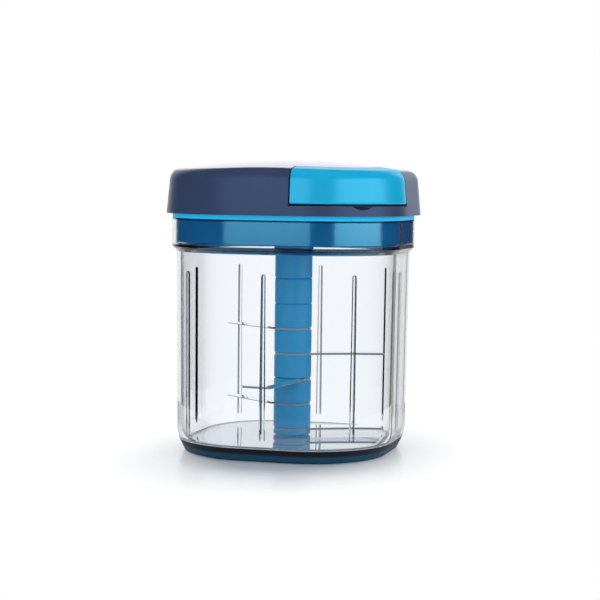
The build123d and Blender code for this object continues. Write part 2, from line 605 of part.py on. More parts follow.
def make_cord_winding():
    """Wound cord: one unbroken tube along a helix of quarter-turn arc pairs, with straight ends."""
    start, start_way = winding_point(0)
    path = [Line(start - start_way * CORD_STUB, start)]
    for quarter in range(4 * CORD_TURNS):
        path += biarc(*winding_point(quarter / 4), *winding_point((quarter + 1) / 4))
    end, end_way = winding_point(CORD_TURNS)
    path.append(Line(end, end + end_way * CORD_STUB))
    line = Wire(path)
    section = Plane(start - start_way * CORD_STUB, z_dir=start_way) * Circle(CORD_RADIUS)
    print("cord winding: least gap between turns", round(winding_gap(), 2), "mm")
    return sweep(section, path=line)


def winding_gap():
    """Least distance between the tube's turns, measured on points one turn apart."""
    samples = 48
    gap = math.inf
    for index in range(samples * (CORD_TURNS - 1) + 1):
        here = winding_point(index / samples)[0]
        for offset in range(-samples // 4, samples // 4 + 1):
            there = winding_point(index / samples + 1 + offset / samples)[0]
            gap = min(gap, (there - here).length - 2 * CORD_RADIUS)
    return gap


def make_cord_lead():
    """Cord from the winding's end, through the eyelet, to the pocket's back face."""
    end, end_way = winding_point(CORD_TURNS)
    level_way = Vector(end_way.X, end_way.Y, 0).normalized()
    lift = Vector(0, 0, end.Z + end_way.Z * CORD_STUB)
    start = Vector(end.X, end.Y, 0) + level_way * (CORD_STUB + CORD_LAY_GAP) + lift
    corner = CORNER + PULL * (POCKET_RADIUS - CORD_BEND_INSET) + lift
    exit_point = CORNER + PULL * POCKET_RADIUS + lift
    route = FilletPolyline(start, corner, exit_point, radius=CORD_BEND)
    section = Plane(start, z_dir=level_way) * Circle(CORD_RADIUS)
    return sweep(section, path=route)


def make_cord_eyelet():
    """Flanged guide in the pocket's back wall."""
    radius = CORD_RADIUS + EYELET_WALL + CORD_LAY_GAP
    wall_inner = POCKET_RADIUS - COVER_WALL
    seat = math.sqrt(wall_inner**2 - EYELET_FLANGE_RADIUS**2) - SEAT_GAP
    eyelet = spoke(EYELET_FLANGE_RADIUS, seat - EYELET_FLANGE, seat)
    eyelet += spoke(radius, seat, POCKET_RADIUS - SEAT_GAP)
    return eyelet - spoke(CORD_RADIUS + CORD_LAY_GAP, seat - 2 * EYELET_FLANGE, POCKET_RADIUS)


def hollow_sector(inner, outer, gap):
    """The handle's hollow, or a piece that fits it with a gap all round."""
    angle = HANDLE_HALF_ANGLE - math.degrees((HANDLE_WALL + gap) / HANDLE_RADIUS)
    low = HANDLE_Z + HANDLE_WALL + gap
    high = CORD_Z + KNOT_RADIUS + KNOT_HEADROOM - gap
    return sector(inner, outer, angle, low, high)


def handle_screw_angles():
    """Directions of the two handle screws."""
    return [PULL_ANGLE - HANDLE_SCREW_ANGLE, PULL_ANGLE + HANDLE_SCREW_ANGLE]


def make_pull_handle():
    """Handle's shell: the lid's own corner, hollow from the back, with two screw bosses."""
    corner = sector(HANDLE_RADIUS, 2 * COVER_HALF, HANDLE_HALF_ANGLE, HANDLE_Z, LID_TOP_Z + PAST)
    grip = cover_solid(0) & corner
    grip = fillet(edges_at(grip, HANDLE_Z), HANDLE_EDGE)
    hollow = hollow_sector(HANDLE_RADIUS - PAST, HANDLE_RADIUS + HANDLE_HOLLOW, 0)
    boss_start = HANDLE_RADIUS + HANDLE_BACK + SEAT_GAP
    for angle in handle_screw_angles():
        hollow -= spoke(HANDLE_BOSS_RADIUS, boss_start, HANDLE_RADIUS + HANDLE_HOLLOW + PAST, angle)
    grip -= hollow
    for angle in handle_screw_angles():
        hole_end = boss_start + HANDLE_SCREW_LENGTH
        grip -= spoke(HANDLE_SCREW_RADIUS + PRESS_FIT, boss_start - PAST, hole_end, angle)
    return grip


def make_handle_back():
    """Curved plate that closes the handle's back, with the cord's hole and two screw seats."""
    outside = HANDLE_RADIUS
    inside = HANDLE_RADIUS + HANDLE_BACK
    seat = HANDLE_RADIUS + HANDLE_SCREW_HEAD
    plate = hollow_sector(outside, inside, SEAT_GAP)
    plate -= spoke(CORD_RADIUS + 2 * CORD_LAY_GAP, outside - PAST, inside + PAST)
    for angle in handle_screw_angles():
        plate -= spoke(HANDLE_SCREW_HEAD_RADIUS + SEAT_GAP, outside - PAST, seat, angle)
        plate -= spoke(HANDLE_SCREW_RADIUS + SEAT_GAP, outside, inside + PAST, angle)
    return plate


def make_handle_screws():
    """Two small screws that hold the handle's back plate."""
    screws = []
    for angle in handle_screw_angles():
        seat = HANDLE_RADIUS + HANDLE_SCREW_HEAD
        head = spoke(HANDLE_SCREW_HEAD_RADIUS, HANDLE_RADIUS + SEAT_GAP, seat, angle)
        screws.append(head + spoke(HANDLE_SCREW_RADIUS, seat, seat + HANDLE_SCREW_LENGTH, angle))
    return screws


def make_cord_knot():
    """Cord's end behind the back plate, with its stopper knot."""
    plate_inside = HANDLE_RADIUS + HANDLE_BACK
    middle = CORNER + PULL * (plate_inside + KNOT_RADIUS + SEAT_GAP) + Vector(0, 0, CORD_Z)
    tail = spoke(CORD_RADIUS, POCKET_RADIUS, plate_inside + KNOT_RADIUS)
    return tail + Pos(middle) * Sphere(KNOT_RADIUS)


def all_pieces():
    """Every piece by name, in the order in which the chopper goes together."""
    pieces = {
        "base_foot": make_base_foot(),
        "bowl": make_bowl(),
        "pivot_pin": make_pivot_pin(),
        "blade_shaft": make_blade_shaft(),
    }
    for index in range(COLLAR_COUNT):
        pieces[f"shaft_collar_{index + 1}"] = make_collar(*collar_ends(index))
    for index in range(BLADE_COUNT):
        pieces[f"blade_{index + 1}"] = make_blade(index)
    pieces |= {
        "shaft_end_cap": make_shaft_end_cap(),
        "lid_plug": make_lid_plug(),
        "seal_ring": make_seal_ring(),
        "drive_bush": make_drive_bush(),
        "recoil_spring": make_recoil_spring(),
        "spring_cover": make_spring_cover(),
        "cord_spool": make_cord_spool(),
        "cord_winding": make_cord_winding(),
        "drive_coupler": make_drive_coupler(),
        "thrust_washer": make_thrust_washer(),
        "spool_screw": make_spool_screw(),
        "lid_cover": make_lid_cover(),
        "lid_screws": Compound(children=make_lid_screws()),
        "cord_eyelet": make_cord_eyelet(),
        "cord_lead": make_cord_lead(),
        "pull_handle": make_pull_handle(),
        "handle_back": make_handle_back(),
        "handle_screws": Compound(children=make_handle_screws()),
        "cord_knot": make_cord_knot(),
    }
    return pieces


os.makedirs("parts", exist_ok=True)
for name, piece in all_pieces().items():
    export_step(piece, f"parts/{name}.step")
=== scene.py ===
import math

import bmesh
import bpy
from mathutils import Matrix, Vector


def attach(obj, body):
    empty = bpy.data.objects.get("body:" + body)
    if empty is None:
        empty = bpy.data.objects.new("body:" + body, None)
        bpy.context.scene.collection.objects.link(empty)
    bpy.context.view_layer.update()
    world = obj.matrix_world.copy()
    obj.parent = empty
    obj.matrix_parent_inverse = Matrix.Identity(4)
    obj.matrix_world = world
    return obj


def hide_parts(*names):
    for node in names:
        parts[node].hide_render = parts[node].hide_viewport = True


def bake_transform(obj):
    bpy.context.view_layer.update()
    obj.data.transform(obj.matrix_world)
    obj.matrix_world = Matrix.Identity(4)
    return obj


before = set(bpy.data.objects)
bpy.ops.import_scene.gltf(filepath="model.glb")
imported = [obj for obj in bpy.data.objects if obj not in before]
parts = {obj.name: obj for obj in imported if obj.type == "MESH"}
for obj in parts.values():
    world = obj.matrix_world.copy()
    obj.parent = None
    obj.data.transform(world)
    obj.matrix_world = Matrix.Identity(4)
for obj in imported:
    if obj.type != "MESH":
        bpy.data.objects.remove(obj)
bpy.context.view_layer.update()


# Anti-slip foot: a flared ring of soft thermoplastic rubber, moulded in one piece and pushed up over the
# bowl's spigot. The rubber is petrol blue, and its upper edge, tucked under the bowl, is painted black as
# painted shade.
BLUE_UP_TO = 0.0026
PAINTED_SHADE_FROM = 0.0036
RUBBER_GRAIN = 0.00035


def linear(code):
    """An sRGB hex colour as the linear RGBA that a shader socket takes."""
    shares = [int(code[i:i + 2], 16) / 255 for i in (1, 3, 5)]
    return tuple(c / 12.92 if c <= 0.04045 else ((c + 0.055) / 1.055) ** 2.4 for c in shares) + (1.0,)


def add_node(tree, kind, inputs=None, **settings):
    """Adds a node, gives it its settings, and fills or links its inputs."""
    node = tree.nodes.new(kind)
    for name, value in settings.items():
        setattr(node, name, value)
    for name, value in (inputs or {}).items():
        if isinstance(value, bpy.types.NodeSocket):
            tree.links.new(value, node.inputs[name])
        else:
            node.inputs[name].default_value = value
    return node


def start_material(name):
    """An empty node material, and its node tree."""
    material = bpy.data.materials.new(name)
    material.use_nodes = True
    material.node_tree.nodes.clear()
    return material, material.node_tree


def dress(material, *names):
    """Gives a finish to pieces that keep their own solid shape."""
    for name in names:
        parts[name].data.materials.clear()
        parts[name].data.materials.append(material)


# Thermoplastic rubber out of a spark-eroded mould: a dull, dry skin with a 0.35 mm grain, a broad soft
# shine and a little dust in the grain.
foot_rubber, tree = start_material("thermoplastic_rubber_foot")
place = add_node(tree, "ShaderNodeTexCoord")
height = add_node(tree, "ShaderNodeSeparateXYZ", {"Vector": place.outputs["Object"]})
level = add_node(tree, "ShaderNodeMapRange",
                 {"Value": height.outputs["Z"], "From Min": BLUE_UP_TO, "From Max": PAINTED_SHADE_FROM})
# Painted shade: the colour runs from petrol blue to near-black up the foot's upper edge, where it tucks under
# the bowl.
colour_and_painted_shade = add_node(tree, "ShaderNodeValToRGB", {"Fac": level.outputs["Result"]})
colour_and_painted_shade.color_ramp.elements[0].color = linear("#174560")
colour_and_painted_shade.color_ramp.elements[1].color = linear("#10151C")
grain = add_node(tree, "ShaderNodeTexNoise",
                 {"Vector": place.outputs["Object"], "Scale": 1 / RUBBER_GRAIN, "Detail": 3.0})
dryness = add_node(tree, "ShaderNodeMapRange",
                   {"Value": grain.outputs["Fac"], "To Min": 0.42, "To Max": 0.62})
relief = add_node(tree, "ShaderNodeBump",
                  {"Height": grain.outputs["Fac"], "Strength": 0.35, "Distance": 0.00005})
skin = add_node(tree, "ShaderNodeBsdfPrincipled",
                {"Base Color": colour_and_painted_shade.outputs["Color"], "Roughness": dryness.outputs["Result"],
                 "IOR": 1.5, "Specular IOR Level": 0.2, "Normal": relief.outputs["Normal"]})
add_node(tree, "ShaderNodeOutputMaterial", {"Surface": skin.outputs["BSDF"]})
dress(foot_rubber, "base_foot")


# Clear bowl: a rounded-square jar injection moulded in styrene acrylonitrile, 2.2 mm thick, with eight
# tapering ribs inside its wall, a thick shoulder under the rim, and a spigot below that stands in the foot.
CORNER_MIDDLE = 0.0115              # corner arc centres, from the axis along X and along Y
BLASTED_UP_TO, CLEAR_FROM = 0.0058, 0.0060
FLOOR_UP_TO = 0.0075
HEEL_FROM, HEEL_UP_TO, WALL_FROM = 0.0061, 0.0125, 0.0130
SHOULDER_FROM, SHOULDER_UP_TO = 0.0930, 0.0980
SHOULDER_PALE, SHOULDER_DARK = (0.38, 0.88), (0.48, 0.78)    # shares of the shoulder's height
RIM_LINE_FROM, RIM_LINE_FULL = 0.1085, 0.1090
RUB_MARK = 0.004
FLOW_MARK = 0.012
FLOAT_A, FLOAT_B, FLOAT_OUT = 2, 3, 0                        # sockets of a Mix node
VECTOR_A, VECTOR_B, VECTOR_OUT = 4, 5, 1
COLOUR_A, COLOUR_B, COLOUR_OUT = 6, 7, 2
WHITE = (1.0, 1.0, 1.0, 1.0)

# SAN is glass-clear and slightly cool. Where light is bent away, in the flanks of its ribs, in the thick
# shoulder, at the rim's edge and where the wall turns from the eye, dark lines are painted into its colour as
# painted shade. Fine rub marks are drawn at 4 mm so that they show, and the spigot is blasted white so that
# the rubber grips it.
clear_bowl, tree = start_material("clear_san_bowl")
place = add_node(tree, "ShaderNodeTexCoord")
surface = add_node(tree, "ShaderNodeNewGeometry")
height = add_node(tree, "ShaderNodeSeparateXYZ", {"Vector": place.outputs["Object"]})
no_further = add_node(tree, "ShaderNodeVectorMath",
                      {0: place.outputs["Object"], 1: (CORNER_MIDDLE, CORNER_MIDDLE, 1.0)},
                      operation="MINIMUM")
core = add_node(tree, "ShaderNodeVectorMath",
                {0: no_further.outputs["Vector"], 1: (-CORNER_MIDDLE, -CORNER_MIDDLE, -1.0)},
                operation="MAXIMUM")
outward = add_node(tree, "ShaderNodeVectorMath",
                   {0: place.outputs["Object"], 1: core.outputs["Vector"]}, operation="SUBTRACT")
wall_way = add_node(tree, "ShaderNodeVectorMath", {0: outward.outputs["Vector"]}, operation="NORMALIZE")
across = add_node(tree, "ShaderNodeVectorMath",
                  {0: surface.outputs["Normal"], 1: wall_way.outputs["Vector"]},
                  operation="CROSS_PRODUCT")
lean = add_node(tree, "ShaderNodeSeparateXYZ", {"Vector": across.outputs["Vector"]})
flank = add_node(tree, "ShaderNodeMath", {0: lean.outputs["Z"]}, operation="ABSOLUTE")
# Painted shade: the ribs' flanks are painted dark grey, and the rest of the glass keeps its cool white.
rib_tone = add_node(tree, "ShaderNodeValToRGB", {"Fac": flank.outputs["Value"]})
rib_tone.color_ramp.elements[0].position = 0.2
rib_tone.color_ramp.elements[0].color = linear("#FBFDFF")
rib_tone.color_ramp.elements[1].position = 0.55
rib_tone.color_ramp.elements[1].color = linear("#4E545F")
shoulder = add_node(tree, "ShaderNodeMapRange",
                    {"Value": height.outputs["Z"], "From Min": SHOULDER_FROM, "From Max": SHOULDER_UP_TO})
# Painted shade: a dark band painted across the thick shoulder.
shoulder_tone = add_node(tree, "ShaderNodeValToRGB", {"Fac": shoulder.outputs["Result"]})
for element, share in zip(shoulder_tone.color_ramp.elements, SHOULDER_PALE):
    element.position, element.color = share, WHITE
for share in SHOULDER_DARK:
    shoulder_tone.color_ramp.elements.new(share).color = linear("#434D5B")
rim_line = add_node(tree, "ShaderNodeMapRange",
                    {"Value": height.outputs["Z"], "From Min": RIM_LINE_FROM, "From Max": RIM_LINE_FULL})
# Painted shade: a dark line painted at the rim's top edge.
rim_tone = add_node(tree, "ShaderNodeMix",
                    {"Factor": rim_line.outputs["Result"], COLOUR_A: shoulder_tone.outputs["Color"],
                     COLOUR_B: linear("#56616E")}, data_type="RGBA")
painted_dark_lines = add_node(tree, "ShaderNodeMix",
                         {"Factor": 1.0, COLOUR_A: rib_tone.outputs["Color"],
                          COLOUR_B: rim_tone.outputs[COLOUR_OUT]},
                         data_type="RGBA", blend_type="MULTIPLY")
turn_away = add_node(tree, "ShaderNodeLayerWeight", {"Blend": 0.5})
# Painted shade: the colour darkens where the wall turns from the eye.
edge_tone = add_node(tree, "ShaderNodeValToRGB", {"Fac": turn_away.outputs["Facing"]})
edge_tone.color_ramp.elements[0].position = 0.72
edge_tone.color_ramp.elements[0].color = WHITE
edge_tone.color_ramp.elements[1].position = 1.0
edge_tone.color_ramp.elements[1].color = linear("#8890A2")
edges = add_node(tree, "ShaderNodeMix",
                 {"Factor": 1.0, COLOUR_A: painted_dark_lines.outputs[COLOUR_OUT],
                  COLOUR_B: edge_tone.outputs["Color"]}, data_type="RGBA", blend_type="MULTIPLY")

# The floor's polished top, seen low, mirrors what stands on it, and there its colour is painted darker as
# painted shade, so that less of what lies under it comes through.
upright = add_node(tree, "ShaderNodeSeparateXYZ", {"Vector": surface.outputs["Normal"]})
floor_level = add_node(tree, "ShaderNodeMath", {0: height.outputs["Z"], 1: FLOOR_UP_TO},
                       operation="LESS_THAN")
floor_flat = add_node(tree, "ShaderNodeMapRange",
                      {"Value": upright.outputs["Z"], "From Min": 0.97, "From Max": 0.995})
floor_top = add_node(tree, "ShaderNodeMath",
                     {0: floor_level.outputs["Value"], 1: floor_flat.outputs["Result"]},
                     operation="MULTIPLY")
seen_low = add_node(tree, "ShaderNodeMapRange",
                    {"Value": turn_away.outputs["Facing"], "From Min": 0.74, "From Max": 0.85})
floor_mirror_and_shade = add_node(tree, "ShaderNodeMath",
                        {0: floor_top.outputs["Value"], 1: seen_low.outputs["Result"]},
                        operation="MULTIPLY")
# Painted shade: where the floor's top is seen low, its colour is painted darker.
colour_and_painted_shade = add_node(tree, "ShaderNodeMix",
                {"Factor": floor_mirror_and_shade.outputs["Value"], COLOUR_A: edges.outputs[COLOUR_OUT],
                 COLOUR_B: linear("#66707E")}, data_type="RGBA")

# The wall and the heel are as smooth as the polished mould, so they take their direction from the bowl's
# outline, with a trace of waviness from the plastic's flow. Ribs and edges keep their own.
squareness = add_node(tree, "ShaderNodeVectorMath",
                      {0: surface.outputs["Normal"], 1: wall_way.outputs["Vector"]},
                      operation="DOT_PRODUCT")
side = add_node(tree, "ShaderNodeMath", {0: squareness.outputs["Value"]}, operation="SIGN")
true_wall = add_node(tree, "ShaderNodeVectorMath",
                     {0: wall_way.outputs["Vector"], "Scale": side.outputs["Value"]}, operation="SCALE")
faces_out = add_node(tree, "ShaderNodeMath", {0: squareness.outputs["Value"]}, operation="ABSOLUTE")
plain_wall = add_node(tree, "ShaderNodeMapRange",
                      {"Value": faces_out.outputs["Value"], "From Min": 0.988, "From Max": 0.997})
under_wall = add_node(tree, "ShaderNodeMapRange",
                      {"Value": height.outputs["Z"], "From Min": WALL_FROM, "From Max": HEEL_UP_TO})
over_floor = add_node(tree, "ShaderNodeMath", {0: height.outputs["Z"], 1: HEEL_FROM},
                      operation="GREATER_THAN")
heel_turn = add_node(tree, "ShaderNodeMapRange",
                     {"Value": faces_out.outputs["Value"], "From Min": 0.2, "From Max": 0.3})
heel_height = add_node(tree, "ShaderNodeMath",
                       {0: under_wall.outputs["Result"], 1: over_floor.outputs["Value"]},
                       operation="MULTIPLY")
heel = add_node(tree, "ShaderNodeMath",
                {0: heel_height.outputs["Value"], 1: heel_turn.outputs["Result"]}, operation="MULTIPLY")
smooth = add_node(tree, "ShaderNodeMath", {0: plain_wall.outputs["Result"], 1: heel.outputs["Value"]},
                  operation="MAXIMUM")
polished = add_node(tree, "ShaderNodeMix",
                    {"Factor": smooth.outputs["Value"], VECTOR_A: surface.outputs["Normal"],
                     VECTOR_B: true_wall.outputs["Vector"]}, data_type="VECTOR")
flow = add_node(tree, "ShaderNodeTexNoise",
                {"Vector": place.outputs["Object"], "Scale": 1 / FLOW_MARK, "Detail": 1.0})
waviness = add_node(tree, "ShaderNodeBump",
                    {"Height": flow.outputs["Fac"], "Strength": 0.002, "Distance": 0.0004,
                     "Normal": polished.outputs[VECTOR_OUT]})
rubs = add_node(tree, "ShaderNodeTexNoise",
                {"Vector": place.outputs["Object"], "Scale": 1 / RUB_MARK, "Detail": 5.0,
                 "Roughness": 0.7})
haze = add_node(tree, "ShaderNodeMapRange",
                {"Value": rubs.outputs["Fac"], "From Min": 0.5, "From Max": 0.8,
                 "To Min": 0.0, "To Max": 0.04})
above_spigot = add_node(tree, "ShaderNodeMapRange",
                        {"Value": height.outputs["Z"], "From Min": BLASTED_UP_TO, "From Max": CLEAR_FROM})
clarity = add_node(tree, "ShaderNodeMapRange",
                   {"Value": above_spigot.outputs["Result"], "To Min": 0.25, "To Max": 1.0})
polish = add_node(tree, "ShaderNodeMix",
                  {"Factor": above_spigot.outputs["Result"], FLOAT_A: 0.6,
                   FLOAT_B: haze.outputs["Result"]}, data_type="FLOAT")
glassy = add_node(tree, "ShaderNodeBsdfPrincipled",
                  {"Base Color": colour_and_painted_shade.outputs[COLOUR_OUT], "Roughness": polish.outputs[FLOAT_OUT],
                   "IOR": 1.57, "Transmission Weight": clarity.outputs["Result"],
                   "Specular Tint": linear("#7C8084"), "Coat Weight": floor_mirror_and_shade.outputs["Value"],
                   "Coat Roughness": 0.02, "Coat IOR": 2.2, "Normal": waviness.outputs["Normal"]})

# Light reaches what is inside as it does through any clear jar.
rays = add_node(tree, "ShaderNodeLightPath")
lit_through = add_node(tree, "ShaderNodeMath",
                       {0: rays.outputs["Is Shadow Ray"], 1: rays.outputs["Is Diffuse Ray"]},
                       operation="MAXIMUM")
passing = add_node(tree, "ShaderNodeBsdfTransparent", {"Color": linear("#F4F6F9")})
walls = add_node(tree, "ShaderNodeMixShader",
                 {0: lit_through.outputs["Value"], 1: glassy.outputs["BSDF"], 2: passing.outputs["BSDF"]})
depth = add_node(tree, "ShaderNodeVolumeAbsorption", {"Color": linear("#B4C6E4"), "Density": 1.5})
add_node(tree, "ShaderNodeOutputMaterial",
         {"Surface": walls.outputs["Shader"], "Volume": depth.outputs["Volume"]})
dress(clear_bowl, "bowl")


# Pivot pin: a turned stainless steel pin pressed into the middle of the bowl's floor, on which the blade
# unit stands and turns.
TOOL_RING = 0.00015
STEEL_SMEAR = 0.002

# Bright-drawn stainless steel: cool, mirror-like, with fine rings from the turning tool 0.15 mm apart.
bright_steel, tree = start_material("bright_stainless_steel")
place = add_node(tree, "ShaderNodeTexCoord")
rings = add_node(tree, "ShaderNodeTexWave",
                 {"Vector": place.outputs["Object"], "Scale": 0.5 / TOOL_RING / math.pi,
                  "Distortion": 1.2, "Detail": 2.0}, bands_direction="Z")
smears = add_node(tree, "ShaderNodeTexNoise",
                  {"Vector": place.outputs["Object"], "Scale": 1 / STEEL_SMEAR, "Detail": 4.0})
wear = add_node(tree, "ShaderNodeMapRange",
                {"Value": smears.outputs["Fac"], "To Min": 0.14, "To Max": 0.32})
shade = add_node(tree, "ShaderNodeValToRGB", {"Fac": smears.outputs["Fac"]})
shade.color_ramp.elements[0].color = linear("#B9BDC2")
shade.color_ramp.elements[1].color = linear("#DADDE0")
tooling = add_node(tree, "ShaderNodeBump",
                   {"Height": rings.outputs["Fac"], "Strength": 0.12, "Distance": 0.00002})
metal = add_node(tree, "ShaderNodeBsdfPrincipled",
                 {"Base Color": shade.outputs["Color"], "Metallic": 1.0,
                  "Roughness": wear.outputs["Result"], "Normal": tooling.outputs["Normal"]})
add_node(tree, "ShaderNodeOutputMaterial", {"Surface": metal.outputs["BSDF"]})
dress(bright_steel, "pivot_pin")


# Blade shaft: a blue ABS column moulded with a hex socket at its head. Six collars are threaded over its
# hexagonal core with the blades between them, and an end cap is snapped on below.
SHAFT_FLOW = 0.003
SHAFT_GRAIN = 0.0002
COLLARS = 6

# Polished ABS: an even satin blue, with faint flow marks 3 mm apart and a 0.2 mm polishing grain.
blue_shaft, tree = start_material("blue_abs_shaft")
place = add_node(tree, "ShaderNodeTexCoord")
marks = add_node(tree, "ShaderNodeTexNoise",
                 {"Vector": place.outputs["Object"], "Scale": 1 / SHAFT_FLOW, "Detail": 2.0})
tint = add_node(tree, "ShaderNodeValToRGB", {"Fac": marks.outputs["Fac"]})
tint.color_ramp.elements[0].color = linear("#1F8DBE")
tint.color_ramp.elements[1].color = linear("#2797C9")
polish = add_node(tree, "ShaderNodeTexNoise",
                  {"Vector": place.outputs["Object"], "Scale": 1 / SHAFT_GRAIN, "Detail": 2.0})
shine = add_node(tree, "ShaderNodeMapRange",
                 {"Value": polish.outputs["Fac"], "To Min": 0.24, "To Max": 0.4})
relief = add_node(tree, "ShaderNodeBump",
                  {"Height": polish.outputs["Fac"], "Strength": 0.12, "Distance": 0.00002})
plastic = add_node(tree, "ShaderNodeBsdfPrincipled",
                   {"Base Color": tint.outputs["Color"], "Roughness": shine.outputs["Result"],
                    "IOR": 1.54, "Normal": relief.outputs["Normal"]})
add_node(tree, "ShaderNodeOutputMaterial", {"Surface": plastic.outputs["BSDF"]})
dress(blue_shaft, "blade_shaft", "shaft_end_cap", *[f"shaft_collar_{i + 1}" for i in range(COLLARS)])


# Blades: five knives stamped from stainless strip, ground on one edge, and clamped between the collars with
# a third of a turn from each to the next.
BLADES = 5
LINES_PER_RADIAN = 300.0
LINE_BREAKS = 60.0                  # along the blade, per metre
LEVEL_BREAKS = 6000.0               # so that no two blades have the same lines

# Polished stainless steel: the faces are near mirrors with fine polishing lines that fan out from the shaft,
# 0.15 mm apart at the tip, and the sheared edges stay dark and dull.
blade_steel, tree = start_material("polished_stainless_blades")
place = add_node(tree, "ShaderNodeTexCoord")
spot = add_node(tree, "ShaderNodeSeparateXYZ", {"Vector": place.outputs["Object"]})
round_shaft = add_node(tree, "ShaderNodeMath", {0: spot.outputs["Y"], 1: spot.outputs["X"]},
                       operation="ARCTAN2")
from_shaft = add_node(tree, "ShaderNodeVectorMath", {0: place.outputs["Object"]}, operation="LENGTH")
fan = add_node(tree, "ShaderNodeCombineXYZ",
               {"X": round_shaft.outputs["Value"], "Y": from_shaft.outputs["Value"],
                "Z": spot.outputs["Z"]})
stretch = add_node(tree, "ShaderNodeMapping",
                   {"Vector": fan.outputs["Vector"],
                    "Scale": (LINES_PER_RADIAN, LINE_BREAKS, LEVEL_BREAKS)})
lines = add_node(tree, "ShaderNodeTexNoise",
                 {"Vector": stretch.outputs["Vector"], "Scale": 1.0, "Detail": 4.0, "Roughness": 0.6})
surface = add_node(tree, "ShaderNodeNewGeometry")
facing = add_node(tree, "ShaderNodeSeparateXYZ", {"Vector": surface.outputs["Normal"]})
flat = add_node(tree, "ShaderNodeMath", {0: facing.outputs["Z"]}, operation="ABSOLUTE")
face = add_node(tree, "ShaderNodeMapRange",
                {"Value": flat.outputs["Value"], "From Min": 0.55, "From Max": 0.8})
steel = add_node(tree, "ShaderNodeValToRGB", {"Fac": lines.outputs["Fac"]})
steel.color_ramp.elements[0].color = linear("#EFF1F3")
steel.color_ramp.elements[1].color = linear("#FCFDFD")
shade = add_node(tree, "ShaderNodeMix",
                 {"Factor": face.outputs["Result"], COLOUR_A: linear("#868C94"),
                  COLOUR_B: steel.outputs["Color"]}, data_type="RGBA")
polish = add_node(tree, "ShaderNodeMapRange",
                  {"Value": lines.outputs["Fac"], "To Min": 0.05, "To Max": 0.14})
dullness = add_node(tree, "ShaderNodeMix",
                    {"Factor": face.outputs["Result"], FLOAT_A: 0.45, FLOAT_B: polish.outputs["Result"]},
                    data_type="FLOAT")
relief = add_node(tree, "ShaderNodeBump",
                  {"Height": lines.outputs["Fac"], "Strength": 0.05, "Distance": 0.00002})
metal = add_node(tree, "ShaderNodeBsdfPrincipled",
                 {"Base Color": shade.outputs[COLOUR_OUT], "Metallic": face.outputs["Result"],
                  "Roughness": dullness.outputs[FLOAT_OUT], "Normal": relief.outputs["Normal"]})
add_node(tree, "ShaderNodeOutputMaterial", {"Surface": metal.outputs["BSDF"]})
dress(blade_steel, *[f"blade_{i + 1}" for i in range(BLADES)])


# Lid plug: the deep blue tray that closes the bowl's mouth, moulded in tinted SAN with four screw pads, the
# spring's barrel and the hub that the drive turns in.
PLUG_FLOW = 0.006
PLUG_GRAIN = 0.0003

# Tinted SAN: light comes back out of its depth, so it mirrors the room more strongly than one face would,
# and in blue. Its IOR is raised to match that.
plug_blue, tree = start_material("tinted_san_plug")
place = add_node(tree, "ShaderNodeTexCoord")
marks = add_node(tree, "ShaderNodeTexNoise",
                 {"Vector": place.outputs["Object"], "Scale": 1 / PLUG_FLOW, "Detail": 2.0})
tint = add_node(tree, "ShaderNodeValToRGB", {"Fac": marks.outputs["Fac"]})
tint.color_ramp.elements[0].color = linear("#0062A6")
tint.color_ramp.elements[1].color = linear("#006AB0")
polish = add_node(tree, "ShaderNodeTexNoise",
                  {"Vector": place.outputs["Object"], "Scale": 1 / PLUG_GRAIN, "Detail": 2.0})
shine = add_node(tree, "ShaderNodeMapRange",
                 {"Value": polish.outputs["Fac"], "To Min": 0.12, "To Max": 0.22})
relief = add_node(tree, "ShaderNodeBump",
                  {"Height": marks.outputs["Fac"], "Strength": 0.06, "Distance": 0.0002})
plastic = add_node(tree, "ShaderNodeBsdfPrincipled",
                   {"Base Color": tint.outputs["Color"], "Roughness": shine.outputs["Result"],
                    "IOR": 3.0, "Specular IOR Level": 1.0, "Specular Tint": linear("#73E3FF"),
                    "Normal": relief.outputs["Normal"]})
add_node(tree, "ShaderNodeOutputMaterial", {"Surface": plastic.outputs["BSDF"]})
dress(plug_blue, "lid_plug")


# Seal ring: a moulded silicone ring stretched round the plug, which sits on the bowl's rim and shows as a
# thin bright line under the cover.
SEAL_BLOOM = 0.0005

# Silicone: bright cyan, waxy and half dull, with a 0.5 mm bloom of dust and grease.
seal_silicone, tree = start_material("cyan_silicone_seal")
place = add_node(tree, "ShaderNodeTexCoord")
bloom = add_node(tree, "ShaderNodeTexNoise",
                 {"Vector": place.outputs["Object"], "Scale": 1 / SEAL_BLOOM, "Detail": 3.0})
tint = add_node(tree, "ShaderNodeValToRGB", {"Fac": bloom.outputs["Fac"]})
tint.color_ramp.elements[0].color = linear("#10BCFA")
tint.color_ramp.elements[1].color = linear("#1ECCFF")
dullness = add_node(tree, "ShaderNodeMapRange",
                    {"Value": bloom.outputs["Fac"], "To Min": 0.34, "To Max": 0.52})
relief = add_node(tree, "ShaderNodeBump",
                  {"Height": bloom.outputs["Fac"], "Strength": 0.15, "Distance": 0.00004})
rubber = add_node(tree, "ShaderNodeBsdfPrincipled",
                  {"Base Color": tint.outputs["Color"], "Roughness": dullness.outputs["Result"],
                   "IOR": 1.41, "Specular IOR Level": 0.25, "Normal": relief.outputs["Normal"]})
add_node(tree, "ShaderNodeOutputMaterial", {"Surface": rubber.outputs["BSDF"]})
dress(seal_silicone, "seal_ring")


# Drive: an acetal bush pressed into the plug's hub, the coupler that turns in it on a thrust washer, and
# above them the cord spool, drawn onto the coupler by one screw. The cord's eyelet is acetal too.
ACETAL_CLOUD = 0.002

